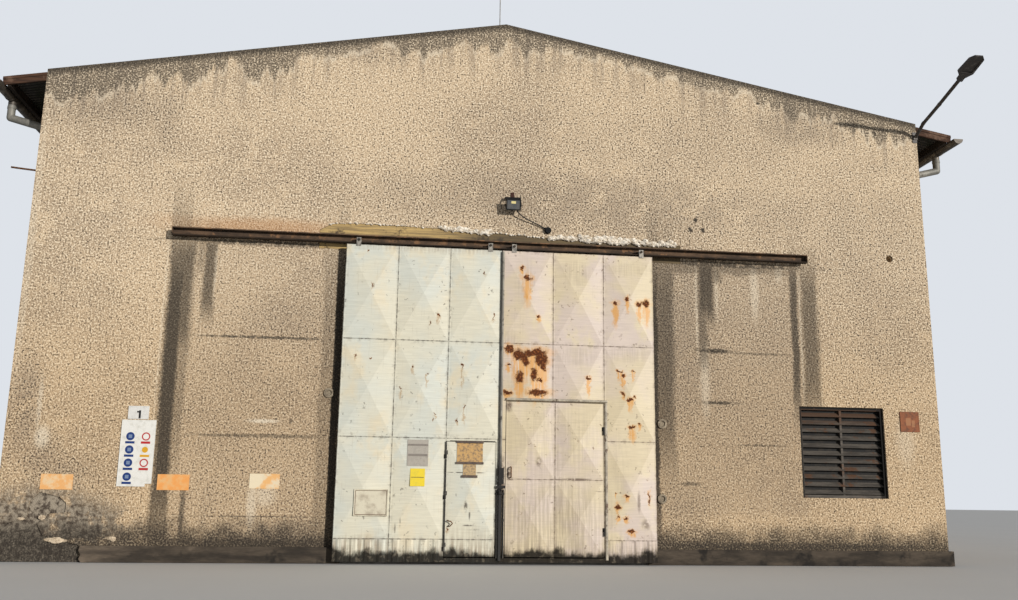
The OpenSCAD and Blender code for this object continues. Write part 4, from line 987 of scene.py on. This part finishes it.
def makeGateNotices(setup, bars):
    for name, notice in setup.items():
        plate = makePlate(f"notice_{name}", notice["place"], notice["front"], thick=0.004, rim=0.005,
                          sink=0.0006, lean=notice["lean"])
        finish = makeSignFinish(f"notice_{name}", rough=0.6, **notice["look"])
        fit(plate, finish, notice["body"])
    barFinish = makeSignFinish("notice_bars", **bars["look"])
    for name in ("ochre", "small_ochre"):
        made = []
        for x0, x1, z0, z1, front in bars[name]:
            bar = startBlock("bar", (x0, front, z0), (x1, front + bars["thick"], z1))
            pickFaces(bar, lambda face: face.normal.z > 0.9)
            bpy.ops.mesh.inset(thickness=bars["rim"])
            slide((0, bars["sink"], bars["sink"]))
            endShaping()
            roundEdges(bar, bars["edge"], 3)
            made.append(bar)
        fit(joinAll(made, f"bars_{name}"), barFinish, "hatch_door")


# cover on the left leaf: a shallow box with a sunk middle and dark edges
coverPlate = {
    "place": (-1.81, -1.4, 0.57, 0.89),
    "front": -12.186,
    "thick": 0.034,
    "rim": 0.016,
    "sink": 0.005,
    "look": dict(
        base=(0.6, 0.555, 0.43), worn=(0.44, 0.385, 0.29), rough=0.6, dirt=0.22, wearScale=6.0, marks=[
            ((0.15, 0.105, 0.065), True, [
                (-1.605, 0.874, 0.19, 0.0035), (-1.605, 0.586, 0.19, 0.0045),
                (-1.794, 0.73, 0.0045, 0.145), (-1.416, 0.73, 0.0035, 0.145)])]),
}


def makeCoverPlate(setup):
    plate = makePlate("cover_plate", setup["place"], setup["front"], setup["thick"], setup["rim"],
                      setup["sink"])
    fit(plate, makeSignFinish("cover_paint", **setup["look"]), "left_leaf")


# steel strips round the wicket: a rain strip over its head, a flat one down its hinge side
wicketTrim = {
    "head": (0.05, 1.362, 2.026, 2.054, -12.182),
    "side": (1.329, 1.362, 0.06, 2.026, -12.157),
    "back": -12.147,
    "rim": 0.009,
    "rise": 0.004,
    "edge": 0.0015,
}


def makeWicketTrim(setup, material):
    strips = []
    for key in ("head", "side"):
        x0, x1, z0, z1, front = setup[key]
        strip = startBlock(key, (x0, front, z0), (x1, setup["back"], z1))
        sinkFront(strip, setup["rim"], -setup["rise"])
        roundEdges(strip, setup["edge"])
        strips.append(strip)
    fit(joinAll(strips, "wicket_trim"), material, "right_leaf")


# beads of foam and mortar along the head of the board: start, end, number and size
boardFoam = {
    "edge": [(-2.408, 4.197), (-2.258, 4.285), (-1.897, 4.31), (-0.979, 4.293), (-0.18, 4.263),
             (0.563, 4.229), (1.316, 4.223), (2.429, 4.205)],
    "runs": [(-2.3, -1.0, 26, 0.012), (-0.86, -0.16, 58, 0.025), (-0.16, 0.62, 20, 0.012),
             (0.62, 1.05, 26, 0.026), (1.05, 1.75, 60, 0.036), (1.75, 2.36, 36, 0.034)],
    "front": -12.004,
    "seed": 11,
    "look": dict(base=(0.82, 0.76, 0.66), worn=(0.55, 0.46, 0.34), rough=0.9, dirt=0.25, wearScale=22.0),
}


def makeBoardFoam(setup):
    draw = random.Random(setup["seed"])
    bead = startLump(2, 0.22, 0.4, 0.8, setup["seed"])
    endShaping()
    edge = setup["edge"]
    beads = []
    for start, end, number, size in setup["runs"]:
        for count in range(number):
            x = start + (end - start) * (count + draw.random()) / number
            ahead = next(i for i in range(1, len(edge)) if x <= edge[i][0] or i == len(edge) - 1)
            (xa, za), (xb, zb) = edge[ahead - 1], edge[ahead]
            z = za + (zb - za) * (x - xa) / (xb - xa) + draw.uniform(-0.6, 1.2) * size
            radius = size * draw.uniform(0.55, 1.25)
            wide = radius * draw.uniform(1.0, 2.0)
            shape = Matrix.Diagonal((wide, radius, radius * draw.uniform(0.6, 1.0), 1))
            twin = bead.copy()
            twin.data = bead.data.copy()
            twin.data.transform(Matrix.Rotation(draw.uniform(-0.5, 0.5), 4, "Y") @ shape)
            twin.data.transform(Matrix.Translation((x, setup["front"], z)))
            bpy.context.scene.collection.objects.link(twin)
            beads.append(twin)
    bpy.data.objects.remove(bead)
    fit(joinAll(beads, "board_foam"), makeSignFinish("foam_pale", **setup["look"]), "hall")


# lumps of pale plaster left where the render broke off
plasterLumps = {
    "lumps": [(-5.28, 0.262, 0.085, 0.036), (-5.36, 0.248, 0.06, 0.022), (-5.19, 0.246, 0.055, 0.018),
              (-4.66, 0.262, 0.052, 0.024), (-4.61, 0.3, 0.03, 0.03), (-4.72, 0.24, 0.045, 0.016),
              (-5.7, 0.5, 0.045, 0.018), (-5.45, 0.55, 0.04, 0.03)],
    "front": -12.0,
    "depth": 0.022,
    "seed": 5,
    "look": dict(base=(0.62, 0.51, 0.37), worn=(0.4, 0.31, 0.21), rough=0.95, dirt=0.35, wearScale=18.0),
}


def makePlasterLumps(setup):
    made = []
    for number, (x, z, wide, high) in enumerate(setup["lumps"]):
        lump = startLump(3, 0.13, 0.3, 0.9, setup["seed"] + number)
        bpy.ops.transform.resize(value=(wide, setup["depth"], high))
        endShaping()
        lump.data.transform(Matrix.Translation((x, setup["front"], z)))
        made.append(lump)
    fit(joinAll(made, "plaster_lumps"), makeSignFinish("plaster_pale", **setup["look"]), "hall")


# six-sided bolt heads with a hollow, on the hanger plates
hangerBolts = {
    "left_leaf": (-1.893, -0.182),
    "right_leaf": (0.132, 1.843),
    "height": 4.05,
    "front": -12.164,
    "radius": 0.017,
    "depth": 0.014,
    "rim": 0.004,
    "sink": 0.005,
    "edge": 0.0015,
}


def makeHangerBolts(setup, material):
    for body in ("left_leaf", "right_leaf"):
        bolts = []
        for x in setup[body]:
            middle = (x, setup["front"], setup["height"])
            bolt = startDisc("bolt", middle, setup["radius"], setup["depth"], sides=6)
            pickFaces(bolt, facesFront)
            bpy.ops.mesh.inset(thickness=setup["rim"])
            bpy.ops.mesh.extrude_region_move(TRANSFORM_OT_translate={"value": (0, setup["sink"], 0)})
            endShaping()
            roundEdges(bolt, setup["edge"])
            bolts.append(bolt)
        fit(joinAll(bolts, f"hanger_bolts_{body}"), material, body)


# padlock in the hasp where the leaves meet
padlock = {
    "x": -0.012,
    "z": 0.885,
    "front": -12.205,
    "size": (0.044, 0.018, 0.036),
    "rim": 0.006,
    "rise": 0.002,
    "edge": 0.004,
    "bar": 0.0042,
    "neck": 0.02,  # straight part of the shackle
    "sunk": 0.004,
}


def makePadlock(setup, material):
    x, z, front = setup["x"], setup["z"], setup["front"]
    wide, deep, high = setup["size"]
    case = startBlock("case", (x - wide / 2, front, z - high), (x + wide / 2, front + deep, z))
    sinkFront(case, setup["rim"], -setup["rise"])
    roundEdges(case, setup["edge"], 3)
    middle = front + deep / 2
    reach = wide * 0.3
    top = z + setup["neck"]
    steps = [step * math.pi / 10 for step in range(11)]
    arc = [(x + reach * math.cos(turn), middle, top + reach * math.sin(turn)) for turn in steps]
    foot = z - setup["sunk"]
    shackle = makeRod("shackle", [(x + reach, middle, foot), *arc, (x - reach, middle, foot)], setup["bar"])
    fit(joinAll([case, shackle], "padlock"), material, "right_leaf")


# bent bar handles of the small doors
handles = {
    "hatch": dict(body="hatch_door", radius=0.007, points=[
        (-0.655, -12.15, 0.53), (-0.655, -12.196, 0.522), (-0.622, -12.202, 0.518),
        (-0.6, -12.2, 0.492), (-0.628, -12.198, 0.462), (-0.655, -12.15, 0.452)]),
    "wicket": dict(body="wicket_door", radius=0.008, points=[
        (0.118, -12.15, 1.19), (0.118, -12.196, 1.186), (0.118, -12.202, 1.172),
        (0.118, -12.202, 1.078), (0.118, -12.196, 1.064), (0.118, -12.15, 1.06)]),
}


def makeHandles(setup, material):
    for name, handle in setup.items():
        rod = makeRod(f"{name}_handle", handle["points"], handle["radius"])
        fit(rod, material, handle["body"])


# short pipe stubs in the wall beside the gate
wallStubs = {
    "middles": [(-2.185, 2.075), (2.127, 1.782), (2.108, 0.82)],
    "radius": 0.062,
    "front": -12.022,
    "steps": [(0.024, -0.006), (0.008, 0.02)],  # rim and push of the collar, then of the bore
    "edge": 0.003,
}


def makeWallStubs(setup, material):
    depth = wallFront - setup["front"]
    stubs = []
    for x, z in setup["middles"]:
        stub = startDisc("stub", (x, setup["front"] + depth / 2, z), setup["radius"], depth, 28)
        pickFaces(stub, facesFront)
        for rim, push in setup["steps"]:
            bpy.ops.mesh.inset(thickness=rim)
            slide((0, push, 0))
        endShaping()
        roundEdges(stub, setup["edge"])
        stubs.append(stub)
    fit(joinAll(stubs, "wall_stubs"), material, "hall")


# the bar of an old wire holder at the left corner and the hook at the right one
cornerRods = {
    "left_rod": [(-5.995, -11.96, 4.821), (-6.16, -11.96, 4.835), (-6.314, -11.96, 4.85)],
    "right_hook": [(5.995, -11.9, 4.76), (6.02, -11.9, 4.765), (6.03, -11.9, 4.8),
                   (6.026, -11.9, 4.845), (6.043, -11.9, 4.887)],
    "radius": 0.012,
}


def makeCornerRods(setup, material):
    for name in ("left_rod", "right_hook"):
        rod = makeRod(name, setup[name], setup["radius"])
        fit(rod, material, "hall")


# glass and light panel of the floodlight, in the frame that tilts with it
floodGlass = {
    "pivot": (0.115, -12.104, 4.635),
    "tilt": math.radians(10),
    "panes": {  # half width, half height and rise; front and back; all in the frame
        "flood_glass": dict(
            size=(0.083, 0.058, 0.0), depths=(-0.0435, -0.0405), rim=0.004, sink=0.0008,
            look=dict(base=(0.075, 0.08, 0.085), worn=(0.11, 0.11, 0.11), rough=0.15, dirt=0.25)),
        "flood_panel": dict(
            size=(0.03, 0.016, 0.03), depths=(-0.045, -0.043), rim=0.003, sink=0.0006,
            look=dict(base=(0.7, 0.6, 0.26), worn=(0.6, 0.5, 0.22), rough=0.4, dirt=0.1)),
    },
}


def makeFloodGlass(setup):
    turn = Matrix.Translation(setup["pivot"]) @ Matrix.Rotation(setup["tilt"], 4, "X")
    for name, pane in setup["panes"].items():
        halfX, halfZ, up = pane["size"]
        front, back = pane["depths"]
        sheet = startBlock(name, (-halfX, front, up - halfZ), (halfX, back, up + halfZ))
        sinkFront(sheet, pane["rim"], pane["sink"])
        sheet.data.transform(turn)
        fit(sheet, makeSignFinish(name, **pane["look"]), "hall")


# a near-black sheet behind the front louvre: painted shade standing in for the dark hall inside
louvreShadeSheet = {
    "low": (4.06, -11.8995, 0.9),
    "high": (5.17, -11.8935, 2.02),
    "rim": 0.03,
    "sink": 0.002,
    "edge": 0.001,
    "look": dict(base=(0.012, 0.012, 0.012), worn=(0.02, 0.018, 0.016), rough=0.9, dirt=0.2),
}


def makeLouvreShadeSheet(setup):
    screen = startBlock("louvre_shade_sheet", setup["low"], setup["high"])
    sinkFront(screen, setup["rim"], setup["sink"])
    roundEdges(screen, setup["edge"])
    fit(screen, makeSignFinish("painted_shade_black", **setup["look"]), "hall")


# cable from the floodlight down to the junction box: out of the housing, into the gland
lampCable = {
    "bend": [(0.165, -12.09, 4.585), (0.172, -12.078, 4.49), (0.43, -12.022, 4.428),
             (0.56, -12.02, 4.353)],
    "knots": 28,
    "thick": 0.016,
    "length": 0.476,
    "look": dict(base=(0.007, 0.007, 0.008), worn=(0.014, 0.013, 0.012), rough=0.75, dirt=0.1),
}


def makeLampCable(setup):
    first, second, third, last = (Vector(point) for point in setup["bend"])
    path = []
    for knot in range(setup["knots"] + 1):
        t = knot / setup["knots"]
        early = first * (1 - t) ** 3 + second * 3 * t * (1 - t) ** 2
        path.append(early + third * 3 * t * t * (1 - t) + last * t ** 3)
    cable = makeRod("lamp_cable", path, setup["thick"] / 2)
    fit(cable, makeSignFinish("cable_black", **setup["look"]), "hall")


makeSignBoard(signBoard)
makeNumberPlate(numberPlate)
makeOrangePlates(orangePlates)
makeRustyPlate(rustyPlate)
makeGateNotices(gateNotices, noticeBars)
makeCoverPlate(coverPlate)
print("plates made")
boltSteel = makePlainFinish(
    "bolt_steel", tones=((0.05, 0.046, 0.042), (0.022, 0.02, 0.018)), patches=(0.1, 0.07, 0.045),
    scale=40.0, rough=0.75, metal=0.2, depth=0.0005)
rustyBar = makePlainFinish(
    "rusty_bar", tones=((0.16, 0.075, 0.035), (0.08, 0.04, 0.022)), patches=(0.28, 0.13, 0.05),
    scale=50.0, rough=0.8, metal=0.2)
stubCement = makePlainFinish(
    "stub_cement", tones=((0.3, 0.25, 0.18), (0.17, 0.14, 0.105)), patches=(0.5, 0.43, 0.33),
    scale=24.0, rough=0.95, depth=0.003)
stripSteel = makePlainFinish(
    "trim_steel", tones=((0.46, 0.41, 0.32), (0.27, 0.235, 0.185)), patches=(0.1, 0.06, 0.04),
    scale=8.0, rough=0.55, metal=0.1)
makeWicketTrim(wicketTrim, stripSteel)
makeHangerBolts(hangerBolts, boltSteel)
makePadlock(padlock, boltSteel)
makeHandles(handles, rustyBar)
makeWallStubs(wallStubs, stubCement)
makeCornerRods(cornerRods, rustyBar)
makeBoardFoam(boardFoam)
makePlasterLumps(plasterLumps)
print("small pieces made")
makeFloodGlass(floodGlass)
makeLouvreShadeSheet(louvreShadeSheet)
makeLampCable(lampCable)
print("lamp and louvre finished")


def makeFloor(setup):
    bpy.ops.object.select_all(action="DESELECT")
    bpy.ops.mesh.primitive_plane_add(size=2 * setup["floorReach"], location=(0, 0, -setup["floorDrop"]))
    floor = bpy.context.object
    floor.name = "studio_floor"
    material, shader, place = startMaterial("studio_floor", 0.9)
    finishMaterial(shader, blend(grain(place, 0.6, 3.0), *setup["floorTones"]))
    floor.data.materials.append(material)


makeFloor(lightSetup)
print("scene ready")
